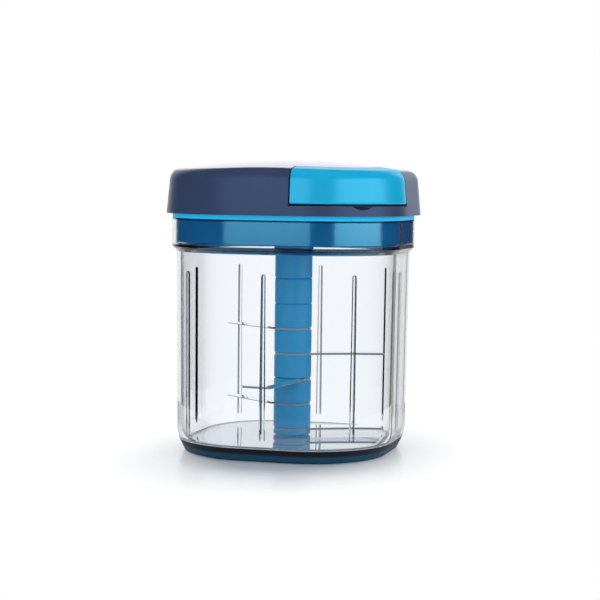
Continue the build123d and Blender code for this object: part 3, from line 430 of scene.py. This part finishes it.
# Natural acetal: milky off-white and slippery, with 2 mm clouding and a soft shine. Steel parts are bright.
white_acetal, tree = start_material("natural_acetal")
place = add_node(tree, "ShaderNodeTexCoord")
clouds = add_node(tree, "ShaderNodeTexNoise",
                  {"Vector": place.outputs["Object"], "Scale": 1 / ACETAL_CLOUD, "Detail": 3.0})
tint = add_node(tree, "ShaderNodeValToRGB", {"Fac": clouds.outputs["Fac"]})
tint.color_ramp.elements[0].color = linear("#DAD8D0")
tint.color_ramp.elements[1].color = linear("#EDEBE4")
shine = add_node(tree, "ShaderNodeMapRange",
                 {"Value": clouds.outputs["Fac"], "To Min": 0.26, "To Max": 0.4})
relief = add_node(tree, "ShaderNodeBump",
                  {"Height": clouds.outputs["Fac"], "Strength": 0.08, "Distance": 0.00005})
plastic = add_node(tree, "ShaderNodeBsdfPrincipled",
                   {"Base Color": tint.outputs["Color"], "Roughness": shine.outputs["Result"], "IOR": 1.48,
                    "Subsurface Weight": 0.15, "Subsurface Scale": 0.002,
                    "Normal": relief.outputs["Normal"]})
add_node(tree, "ShaderNodeOutputMaterial", {"Surface": plastic.outputs["BSDF"]})
dress(white_acetal, "drive_bush", "drive_coupler", "cord_spool", "cord_eyelet")
dress(bright_steel, "thrust_washer", "spool_screw")


# Recoil spring: a flat spiral of spring steel in the plug's barrel, under the spool, which winds the cord
# back in. A thin pressed steel cover keeps it there.
dress(bright_steel, "recoil_spring", "spring_cover")


# Wound cord: four turns of 2 mm braided nylon on the spool's drum, laid side by side. It leaves the top
# turn at a tangent, towards the eyelet in the corner of the cover.
CORD_RADIUS = 0.001
CORD_SIDES = 16
CORD_LEVEL = 0.123948
DRUM_TURNS = 4
TURN_STEPS = 24
DRUM_LINE = 0.0171
DRUM_PITCH = 0.0026
LEAVES_AT = math.radians(-110.95)
BRAID_PITCH = 0.0024
BRAID_PAIRS = 4
LAST_STEP = 0.0002                  # braid's length over the step that closes a loop


def smooth_line(name, points, detail, closed=False):
    """Points read along one smooth spline through the route."""
    curve = bpy.data.curves.new(name, "CURVE")
    curve.dimensions = "3D"
    spline = curve.splines.new("NURBS")
    spline.points.add(len(points) - 1)
    for point, place in zip(spline.points, points):
        point.co = (*place, 1.0)
    spline.order_u = 3
    spline.use_endpoint_u = not closed
    spline.use_cyclic_u = closed
    spline.resolution_u = detail
    carrier = bpy.data.objects.new(name, curve)
    mesh = bpy.data.meshes.new_from_object(carrier)
    line = [v.co.copy() for v in mesh.vertices]
    bpy.data.objects.remove(carrier)
    bpy.data.meshes.remove(mesh)
    return line


def lengths(line):
    """How far along the line each of its points is."""
    run = [0.0]
    for a, b in zip(line, line[1:]):
        run.append(run[-1] + (b - a).length)
    return run


def cord_tube(name, line, run, closed=False):
    """A round cord along a line. run gives each point's length along the cord, for the braid."""
    count = len(line)
    side = None
    verts = []
    for i, centre in enumerate(line):
        before = line[i - 1] if i or closed else line[i]
        after = line[(i + 1) % count] if i + 1 < count or closed else line[i]
        ahead = (after - before).normalized()
        if side is None:
            side = ahead.cross(Vector((0.0, 0.0, 1.0))).normalized()
        side = (side - ahead * side.dot(ahead)).normalized()
        other = ahead.cross(side)
        for j in range(CORD_SIDES):
            a = 2 * math.pi * j / CORD_SIDES
            verts.append(centre + CORD_RADIUS * (side * math.cos(a) + other * math.sin(a)))
    faces, braid = [], []
    for i in range(count if closed else count - 1):
        ring, following = i * CORD_SIDES, (i + 1) % count * CORD_SIDES
        start, end = run[i], run[i + 1] if i + 1 < count else run[i] + LAST_STEP
        for j in range(CORD_SIDES):
            n = (j + 1) % CORD_SIDES
            faces.append((ring + j, ring + n, following + n, following + j))
            near, far = j / CORD_SIDES, (j + 1) / CORD_SIDES
            braid += [(start, near), (start, far), (end, far), (end, near)]
    if not closed:
        for first, at in ((0, run[0]), ((count - 1) * CORD_SIDES, run[-1])):
            ring = range(first, first + CORD_SIDES)
            faces.append(tuple(reversed(ring)) if first == 0 else tuple(ring))
            braid += [(at, 0.5)] * CORD_SIDES
    mesh = bpy.data.meshes.new(name)
    mesh.from_pydata(verts, [], faces)
    layer = mesh.uv_layers.new(name="braid")
    for loop, place in zip(layer.data, braid):
        loop.uv = place
    for face in mesh.polygons:
        face.use_smooth = len(face.vertices) == 4
    piece = bpy.data.objects.new(name, mesh)
    bpy.context.scene.collection.objects.link(piece)
    return piece


# Braided nylon: eight carriers crossing every 2.4 mm, chalky white, with the valleys between the threads
# painted grey as painted shade, and a silky shine on the crowns of the threads.
cord_nylon, tree = start_material("braided_nylon_cord")
thread = add_node(tree, "ShaderNodeUVMap", uv_map="braid")
along = add_node(tree, "ShaderNodeSeparateXYZ", {"Vector": thread.outputs["UV"]})
pitch = add_node(tree, "ShaderNodeMath", {0: along.outputs["X"], 1: 2 * math.pi / BRAID_PITCH},
                 operation="MULTIPLY")
carriers = add_node(tree, "ShaderNodeMath", {0: along.outputs["Y"], 1: 2 * math.pi * BRAID_PAIRS},
                    operation="MULTIPLY")
forward = add_node(tree, "ShaderNodeMath", {0: pitch.outputs["Value"], 1: carriers.outputs["Value"]},
                   operation="ADD")
backward = add_node(tree, "ShaderNodeMath", {0: pitch.outputs["Value"], 1: carriers.outputs["Value"]},
                    operation="SUBTRACT")
over = add_node(tree, "ShaderNodeMath", {0: forward.outputs["Value"]}, operation="SINE")
under = add_node(tree, "ShaderNodeMath", {0: backward.outputs["Value"]}, operation="SINE")
crown = add_node(tree, "ShaderNodeMath", {0: over.outputs["Value"], 1: under.outputs["Value"]},
                 operation="MAXIMUM")
weave = add_node(tree, "ShaderNodeMapRange",
                 {"Value": crown.outputs["Value"], "From Min": -1.0, "From Max": 1.0})
# Painted shade: the valleys between the threads are painted grey, and the crowns are white.
tint = add_node(tree, "ShaderNodeValToRGB", {"Fac": weave.outputs["Result"]})
tint.color_ramp.elements[0].color = linear("#8F8E8A")
tint.color_ramp.elements[1].color = linear("#EFEDE7")
silk = add_node(tree, "ShaderNodeMapRange",
                {"Value": weave.outputs["Result"], "To Min": 0.75, "To Max": 0.5})
relief = add_node(tree, "ShaderNodeBump",
                  {"Height": weave.outputs["Result"], "Strength": 0.8, "Distance": 0.00018})
fibre = add_node(tree, "ShaderNodeBsdfPrincipled",
                 {"Base Color": tint.outputs["Color"], "Roughness": silk.outputs["Result"], "IOR": 1.53,
                  "Sheen Weight": 0.2, "Normal": relief.outputs["Normal"]})
add_node(tree, "ShaderNodeOutputMaterial", {"Surface": fibre.outputs["BSDF"]})

coil = []
for step in range(DRUM_TURNS * TURN_STEPS + 1):
    back = DRUM_TURNS - step / TURN_STEPS
    angle = LEAVES_AT - 2 * math.pi * back
    coil.append((DRUM_LINE * math.cos(angle), DRUM_LINE * math.sin(angle), CORD_LEVEL - DRUM_PITCH * back))
coil_line = smooth_line("wound_cord_line", coil, detail=3)
wound_cord = cord_tube("wound_cord", coil_line, lengths(coil_line))
wound_cord.data.materials.append(cord_nylon)
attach(wound_cord, "spool")
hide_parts("cord_winding")


# Pull cord: the free end of the same cord, from the spool round a bend into the eyelet, out of the cover's
# corner and through the back of the handle. Its braid is spaced to keep its pitch if it is pulled out 0.36 m
# straight between the eyelet and the handle.
PULL = Vector((math.sqrt(0.5), -math.sqrt(0.5), 0.0))
CORNER = Vector((CORNER_MIDDLE, -CORNER_MIDDLE, CORD_LEVEL))
PULL_TRAVEL = 0.36
TUCK = 0.0001                       # cord's end inside the winding's end
BEND_REACH = 0.0038
bend = CORNER + PULL * 0.0257
pay_out = CORNER + PULL * 0.0321
taken_up = CORNER + PULL * 0.0326
knot_middle = CORNER + PULL * 0.0380
leaves = Vector((DRUM_LINE * math.cos(LEAVES_AT), DRUM_LINE * math.sin(LEAVES_AT), CORD_LEVEL))
inward = (leaves - bend).normalized()
route = [leaves - inward * TUCK, bend + inward * BEND_REACH, bend, bend + PULL * BEND_REACH, knot_middle]
pull_line = smooth_line("pull_cord_line", route, detail=24)
run = []
for place, at in zip(pull_line, lengths(pull_line)):
    share = min(1.0, max(0.0, (place - pay_out).dot(PULL) / (taken_up - pay_out).dot(PULL)))
    run.append(at + PULL_TRAVEL * share * share * (3 - 2 * share))
pull_cord = cord_tube("pull_cord", pull_line, run)
pull_cord.data.materials.append(cord_nylon)
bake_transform(pull_cord)
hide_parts("cord_lead")


# Stopper knot: an overhand knot in the cord's end, drawn tight inside the handle so that it can't pull
# through the handle's back.
KNOT_STEPS = 36
KNOT_DEPTH = 0.0006
KNOT_SPREAD = 0.00047
UP = Vector((0, 0, 1))
knot = []
for step in range(KNOT_STEPS):
    t = 2 * math.pi * step / KNOT_STEPS
    across = math.sin(t) + 2 * math.sin(2 * t)
    up = math.cos(t) - 2 * math.cos(2 * t)
    through = -math.sin(3 * t)
    knot.append(knot_middle + PULL * (KNOT_DEPTH * through) + PULL.cross(UP) * (KNOT_SPREAD * across)
                + UP * (KNOT_SPREAD * up))
knot_line = smooth_line("stopper_knot_line", knot, detail=3, closed=True)
stopper_knot = cord_tube("stopper_knot", knot_line, lengths(knot_line), closed=True)
stopper_knot.data.materials.append(cord_nylon)
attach(stopper_knot, "handle")
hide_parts("cord_knot")


# Lid cover: the domed housing over the drive, moulded in slate-blue ABS with a pocket in one corner for the
# handle. Four screws hold it, driven from under the plug into its bosses.
COVER_GRAIN = 0.0003
COVER_FLOW = 0.015
CROWN_ABOVE = 0.125                 # higher than the pocket's floor

# Textured ABS: a satin slate with a 0.3 mm moulded grain that spreads its highlights and pales its edges.
# The crown is polished smooth, so seen low it mirrors the pale room. Its IOR is raised to match that.
slate_cover, tree = start_material("slate_abs_cover")
place = add_node(tree, "ShaderNodeTexCoord")
grain = add_node(tree, "ShaderNodeTexNoise",
                 {"Vector": place.outputs["Object"], "Scale": 1 / COVER_GRAIN, "Detail": 3.0})
marks = add_node(tree, "ShaderNodeTexNoise",
                 {"Vector": place.outputs["Object"], "Scale": 1 / COVER_FLOW, "Detail": 2.0})
tint = add_node(tree, "ShaderNodeValToRGB", {"Fac": marks.outputs["Fac"]})
tint.color_ramp.elements[0].color = linear("#283752")
tint.color_ramp.elements[1].color = linear("#303F5E")
shine = add_node(tree, "ShaderNodeMapRange",
                 {"Value": grain.outputs["Fac"], "To Min": 0.3, "To Max": 0.46})
surface = add_node(tree, "ShaderNodeNewGeometry")
facing = add_node(tree, "ShaderNodeSeparateXYZ", {"Vector": surface.outputs["Normal"]})
level_top = add_node(tree, "ShaderNodeMapRange",
                     {"Value": facing.outputs["Z"], "From Min": 0.75, "From Max": 0.97})
height = add_node(tree, "ShaderNodeSeparateXYZ", {"Vector": place.outputs["Object"]})
above_pocket = add_node(tree, "ShaderNodeMath", {0: height.outputs["Z"], 1: CROWN_ABOVE},
                        operation="GREATER_THAN")
crown = add_node(tree, "ShaderNodeMath",
                 {0: level_top.outputs["Result"], 1: above_pocket.outputs["Value"]}, operation="MULTIPLY")
finish = add_node(tree, "ShaderNodeMix",
                  {"Factor": crown.outputs["Value"], FLOAT_A: shine.outputs["Result"], FLOAT_B: 0.06},
                  data_type="FLOAT")
relief = add_node(tree, "ShaderNodeBump",
                  {"Height": grain.outputs["Fac"], "Strength": 0.12, "Distance": 0.00003})
plastic = add_node(tree, "ShaderNodeBsdfPrincipled",
                   {"Base Color": tint.outputs["Color"], "Roughness": finish.outputs[FLOAT_OUT],
                    "IOR": 2.0, "Specular Tint": linear("#A2BFFF"),
                    "Sheen Weight": 0.3, "Sheen Roughness": 0.25, "Sheen Tint": linear("#C8D4F0"),
                    "Coat Weight": crown.outputs["Value"], "Coat Roughness": 0.05, "Coat IOR": 1.6,
                    "Normal": relief.outputs["Normal"]})
add_node(tree, "ShaderNodeOutputMaterial", {"Surface": plastic.outputs["BSDF"]})
dress(slate_cover, "lid_cover")
dress(bright_steel, "lid_screws")


# Pull handle: a cyan ABS shell that fills the corner of the cover, closed by a back plate and two screws.
# The fingers take it by the notch under its edge.
HANDLE_PEEL = 0.0012
HANDLE_FLOW = 0.01
SCRATCH_RUN = (900.0, 900.0, 9000.0)        # per metre: 1 mm long, 0.1 mm apart

# Gloss ABS: bright cyan out of a polished mould, a soft mirror with a trace of 1.2 mm orange peel and of
# hair scratches. Its IOR is raised, and its shine is cyan, to match how strongly it takes the softboxes.
cyan_handle, tree = start_material("gloss_cyan_abs_handle")
place = add_node(tree, "ShaderNodeTexCoord")
peel = add_node(tree, "ShaderNodeTexNoise",
                {"Vector": place.outputs["Object"], "Scale": 1 / HANDLE_PEEL, "Detail": 1.0})
marks = add_node(tree, "ShaderNodeTexNoise",
                 {"Vector": place.outputs["Object"], "Scale": 1 / HANDLE_FLOW, "Detail": 2.0})
tint = add_node(tree, "ShaderNodeValToRGB", {"Fac": marks.outputs["Fac"]})
tint.color_ramp.elements[0].color = linear("#00A0D0")
tint.color_ramp.elements[1].color = linear("#02A8DA")
rubbed = add_node(tree, "ShaderNodeMapping", {"Vector": place.outputs["Object"], "Scale": SCRATCH_RUN})
scratches = add_node(tree, "ShaderNodeTexNoise",
                     {"Vector": rubbed.outputs["Vector"], "Scale": 1.0, "Detail": 3.0})
shine = add_node(tree, "ShaderNodeMapRange",
                 {"Value": scratches.outputs["Fac"], "To Min": 0.25, "To Max": 0.28})
relief = add_node(tree, "ShaderNodeBump",
                  {"Height": peel.outputs["Fac"], "Strength": 0.015, "Distance": 0.00008})
plastic = add_node(tree, "ShaderNodeBsdfPrincipled",
                   {"Base Color": tint.outputs["Color"], "Roughness": shine.outputs["Result"],
                    "IOR": 2.0, "Specular IOR Level": 1.0, "Specular Tint": linear("#79E6FF"),
                    "Normal": relief.outputs["Normal"]})
add_node(tree, "ShaderNodeOutputMaterial", {"Surface": plastic.outputs["BSDF"]})
dress(cyan_handle, "pull_handle", "handle_back")
dress(bright_steel, "handle_screws")


# Studio floor: a round sheet of polished white acrylic under the object. It takes the object's soft shadow
# and a faint reflection, has a painted shadow round the foot, and runs out to plain white.
SHEET_RADIUS = 0.2
SHEET_DROP = 0.0002                 # under the foot, so that the two faces don't meet
SHADOW_SHAPE = (1.5, 1.0, 1.0)
SHADOW_SHIFT = (-0.006, 0.016, 0.0)
SHADOW_FROM, WHITE_FROM = 0.05, 0.117
MIRRORED_FROM, MIRRORED_END = 0.08, 0.2
MIRRORED_DIM = 0.6
floor_mesh = bpy.data.meshes.new("studio_floor")
sheet = bmesh.new()
bmesh.ops.create_circle(sheet, cap_ends=True, segments=96, radius=SHEET_RADIUS)
sheet.to_mesh(floor_mesh)
sheet.free()
floor = bpy.data.objects.new("studio_floor", floor_mesh)
bpy.context.scene.collection.objects.link(floor)
floor.location.z = -SHEET_DROP

# White acrylic: glossy and painted grey near the object, a painted shadow under its real one, and white
# further out for what looks at it straight, in a mirror or through the bowl. Mirrored, it dims towards its
# edge.
white_acrylic, tree = start_material("white_acrylic_floor")
place = add_node(tree, "ShaderNodeTexCoord")
spread = add_node(tree, "ShaderNodeVectorMath",
                  {0: place.outputs["Object"], 1: SHADOW_SHAPE, 2: SHADOW_SHIFT},
                  operation="MULTIPLY_ADD")
away = add_node(tree, "ShaderNodeVectorMath", {0: spread.outputs["Vector"]}, operation="LENGTH")
# Painted shadow: inside this ellipse round the foot, shifted to the front, the sheet shows its grey gloss;
# beyond it runs to white.
past_painted_shadow = add_node(tree, "ShaderNodeMapRange",
                 {"Value": away.outputs["Value"], "From Min": SHADOW_FROM, "From Max": WHITE_FROM})
rays = add_node(tree, "ShaderNodeLightPath")
straight_or_mirrored = add_node(tree, "ShaderNodeMath",
                                {0: rays.outputs["Is Camera Ray"], 1: rays.outputs["Is Glossy Ray"]},
                                operation="MAXIMUM")
seen = add_node(tree, "ShaderNodeMath",
                {0: straight_or_mirrored.outputs["Value"], 1: rays.outputs["Is Transmission Ray"]},
                operation="MAXIMUM")
whiten = add_node(tree, "ShaderNodeMath", {0: past_painted_shadow.outputs["Result"], 1: seen.outputs["Value"]},
                  operation="MULTIPLY")
# Painted shadow: near the object the sheet is this grey, darker than white acrylic, under its real shadow.
gloss = add_node(tree, "ShaderNodeBsdfPrincipled",
                 {"Base Color": linear("#C6CCD4"), "Roughness": 0.22, "IOR": 1.49})
after_gloss = add_node(tree, "ShaderNodeMath", {0: rays.outputs["Glossy Depth"], 1: 1.0},
                       operation="MINIMUM")
fading = add_node(tree, "ShaderNodeMapRange",
                  {"Value": away.outputs["Value"], "From Min": MIRRORED_FROM, "From Max": MIRRORED_END,
                   "To Min": 1.0, "To Max": MIRRORED_DIM})
glow = add_node(tree, "ShaderNodeMix",
                {"Factor": after_gloss.outputs["Value"], FLOAT_A: 1.0, FLOAT_B: fading.outputs["Result"]},
                data_type="FLOAT")
white = add_node(tree, "ShaderNodeEmission", {"Color": WHITE, "Strength": glow.outputs[FLOAT_OUT]})
both = add_node(tree, "ShaderNodeMixShader",
                {0: whiten.outputs["Value"], 1: gloss.outputs["BSDF"], 2: white.outputs["Emission"]})
add_node(tree, "ShaderNodeOutputMaterial", {"Surface": both.outputs["Shader"]})
floor_mesh.materials.append(white_acrylic)


# Studio room: white all round for what is looked at straight or through the bowl. What is mirrored sees a
# dim room with white screens: a backdrop, one to its right that has a dark gap at the rim's level, the pale
# ground, and for what stands inside the bowl a paler room behind and at the sides.
BACKDROP_WAY = (-0.375, 0.927, 0.0)
RIGHT_SCREEN_WAY = (0.225, 0.974, 0.0)
FRONT_WAY = (0.267, -0.964, 0.0)
PALE_ROOM = 0.6
DIM_ROOM = 0.03
INSIDE_BOWL = 0.5                   # between no pass through clear plastic and one
world = bpy.data.worlds.new("studio")
bpy.context.scene.world = world
world.use_nodes = True
tree = world.node_tree
tree.nodes.clear()
heading = add_node(tree, "ShaderNodeTexCoord")
climb = add_node(tree, "ShaderNodeSeparateXYZ", {"Vector": heading.outputs["Generated"]})
level_heading = add_node(tree, "ShaderNodeVectorMath",
                         {0: heading.outputs["Generated"], 1: (1.0, 1.0, 0.0)}, operation="MULTIPLY")
bearing = add_node(tree, "ShaderNodeVectorMath", {0: level_heading.outputs["Vector"]},
                   operation="NORMALIZE")
rays = add_node(tree, "ShaderNodeLightPath")
outside = add_node(tree, "ShaderNodeMath", {0: rays.outputs["Transmission Depth"], 1: INSIDE_BOWL},
                   operation="LESS_THAN")
inside = add_node(tree, "ShaderNodeMath", {0: rays.outputs["Transmission Depth"], 1: INSIDE_BOWL},
                  operation="GREATER_THAN")

behind = add_node(tree, "ShaderNodeVectorMath", {0: bearing.outputs["Vector"], 1: BACKDROP_WAY},
                  operation="DOT_PRODUCT")
backdrop = add_node(tree, "ShaderNodeMapRange",
                    {"Value": behind.outputs["Value"], "From Min": 0.86, "From Max": 0.92})

beside = add_node(tree, "ShaderNodeVectorMath", {0: bearing.outputs["Vector"], 1: RIGHT_SCREEN_WAY},
                  operation="DOT_PRODUCT")
screen_width = add_node(tree, "ShaderNodeMapRange",
                        {"Value": beside.outputs["Value"], "From Min": 0.965, "From Max": 0.985})
over_gap = add_node(tree, "ShaderNodeMapRange",
                    {"Value": climb.outputs["Z"], "From Min": -0.01, "From Max": 0.015})
under_gap = add_node(tree, "ShaderNodeMapRange",
                     {"Value": climb.outputs["Z"], "From Min": -0.036, "From Max": -0.044})
screen_height = add_node(tree, "ShaderNodeMath",
                         {0: over_gap.outputs["Result"], 1: under_gap.outputs["Result"]},
                         operation="MAXIMUM")
screen_outside = add_node(tree, "ShaderNodeMath",
                          {0: screen_width.outputs["Result"], 1: outside.outputs["Value"]},
                          operation="MULTIPLY")
right_screen = add_node(tree, "ShaderNodeMath",
                        {0: screen_outside.outputs["Value"], 1: screen_height.outputs["Value"]},
                        operation="MULTIPLY")

in_front = add_node(tree, "ShaderNodeVectorMath", {0: bearing.outputs["Vector"], 1: FRONT_WAY},
                    operation="DOT_PRODUCT")
past_front = add_node(tree, "ShaderNodeMapRange",
                      {"Value": in_front.outputs["Value"], "From Min": 0.5, "From Max": 0.3})
rising = add_node(tree, "ShaderNodeMapRange",
                  {"Value": climb.outputs["Z"], "From Min": 0.03, "From Max": 0.12, "To Max": PALE_ROOM})
upper_room = add_node(tree, "ShaderNodeMath",
                      {0: past_front.outputs["Result"], 1: rising.outputs["Result"]}, operation="MULTIPLY")
room_inside = add_node(tree, "ShaderNodeMath",
                       {0: upper_room.outputs["Value"], 1: inside.outputs["Value"]}, operation="MULTIPLY")

two_screens = add_node(tree, "ShaderNodeMath",
                       {0: backdrop.outputs["Result"], 1: right_screen.outputs["Value"]},
                       operation="MAXIMUM")
all_screens = add_node(tree, "ShaderNodeMath",
                       {0: two_screens.outputs["Value"], 1: room_inside.outputs["Value"]},
                       operation="MAXIMUM")
top_edge = add_node(tree, "ShaderNodeMapRange",
                    {"Value": climb.outputs["Z"], "From Min": 0.65, "From Max": 0.4})
screens = add_node(tree, "ShaderNodeMath",
                   {0: all_screens.outputs["Value"], 1: top_edge.outputs["Result"]}, operation="MULTIPLY")
ground = add_node(tree, "ShaderNodeMapRange",
                  {"Value": climb.outputs["Z"], "From Min": -0.2, "From Max": -0.5})
pale = add_node(tree, "ShaderNodeMath", {0: screens.outputs["Value"], 1: ground.outputs["Result"]},
                operation="MAXIMUM")
mirrored = add_node(tree, "ShaderNodeMapRange",
                    {"Value": pale.outputs["Value"], "To Min": DIM_ROOM, "To Max": 1.0})
after_gloss = add_node(tree, "ShaderNodeMath", {0: rays.outputs["Glossy Depth"], 1: 1.0},
                       operation="MINIMUM")
after_matt = add_node(tree, "ShaderNodeMath", {0: rays.outputs["Diffuse Depth"], 1: 1.0},
                      operation="MINIMUM")
seen = add_node(tree, "ShaderNodeMix",
                {"Factor": after_gloss.outputs["Value"], FLOAT_A: 1.0, FLOAT_B: mirrored.outputs["Result"]},
                data_type="FLOAT")
strength = add_node(tree, "ShaderNodeMix",
                    {"Factor": after_matt.outputs["Value"], FLOAT_A: seen.outputs[FLOAT_OUT], FLOAT_B: 1.0},
                    data_type="FLOAT")
sky = add_node(tree, "ShaderNodeBackground", {"Color": WHITE, "Strength": strength.outputs[FLOAT_OUT]})
add_node(tree, "ShaderNodeOutputWorld", {"Surface": sky.outputs["Background"]})


# Studio lamps: a large softbox on the right, a weaker one in front on the left, both level and mirrored in
# the object, and one overhead that only lights it.
OBJECT_MIDDLE = 0.07
for name, turn, reach, height, width, tall, watts, overhead in (
        ("softbox_right", -13.0, 1.00, 0.40, 1.32, 0.70, 3.0, False),
        ("softbox_front_left", -101.0, 1.15, 0.40, 1.05, 0.70, 1.6, False),
        ("softbox_overhead", 60.0, 0.10, 1.40, 1.20, 1.20, 3.5, True)):
    lamp = bpy.data.lights.new(name, "AREA")
    lamp.shape = "RECTANGLE"
    lamp.size, lamp.size_y = width, tall
    lamp.energy = watts
    box = bpy.data.objects.new(name, lamp)
    angle = math.radians(turn)
    box.location = (reach * math.cos(angle), reach * math.sin(angle), height)
    aim = Vector((0.0, 0.0, OBJECT_MIDDLE if overhead else height)) - box.location
    box.rotation_euler = aim.to_track_quat("-Z", "Y").to_euler()
    box.visible_camera = False
    box.visible_glossy = not overhead
    bpy.context.scene.collection.objects.link(box)


# Camera: level with the lid, turned 15.5 degrees to the right of the bowl's front and 0.85 m away, with a
# long lens and a slight roll.
TURN = math.radians(15.5)
DIP = math.radians(3.9)
ROLL = math.radians(0.727)
DISTANCE = 0.85
SIDESTEP = 0.003
EYE_LEVEL = 0.1285
SENSOR_WIDTH = 36.0
FOCAL_SHARE = 1789 / 600            # focal length over the picture's width
right = Vector((math.cos(TURN), math.sin(TURN), 0.0))
ahead = Vector((-math.sin(TURN) * math.cos(DIP), math.cos(TURN) * math.cos(DIP), -math.sin(DIP)))
above = right.cross(ahead)
right, above = (right * math.cos(ROLL) + above * math.sin(ROLL),
                above * math.cos(ROLL) - right * math.sin(ROLL))
lens = bpy.data.cameras.new("camera")
lens.sensor_width = SENSOR_WIDTH
lens.lens = SENSOR_WIDTH * FOCAL_SHARE
camera = bpy.data.objects.new("camera", lens)
stand = Vector((DISTANCE * math.sin(TURN) + SIDESTEP * math.cos(TURN),
                -DISTANCE * math.cos(TURN) + SIDESTEP * math.sin(TURN), EYE_LEVEL))
camera.matrix_world = Matrix((
    (right.x, above.x, -ahead.x, stand.x),
    (right.y, above.y, -ahead.y, stand.y),
    (right.z, above.z, -ahead.z, stand.z),
    (0.0, 0.0, 0.0, 1.0)))
bpy.context.scene.collection.objects.link(camera)
bpy.context.scene.camera = camera
bpy.context.scene.view_settings.view_transform = "Standard"
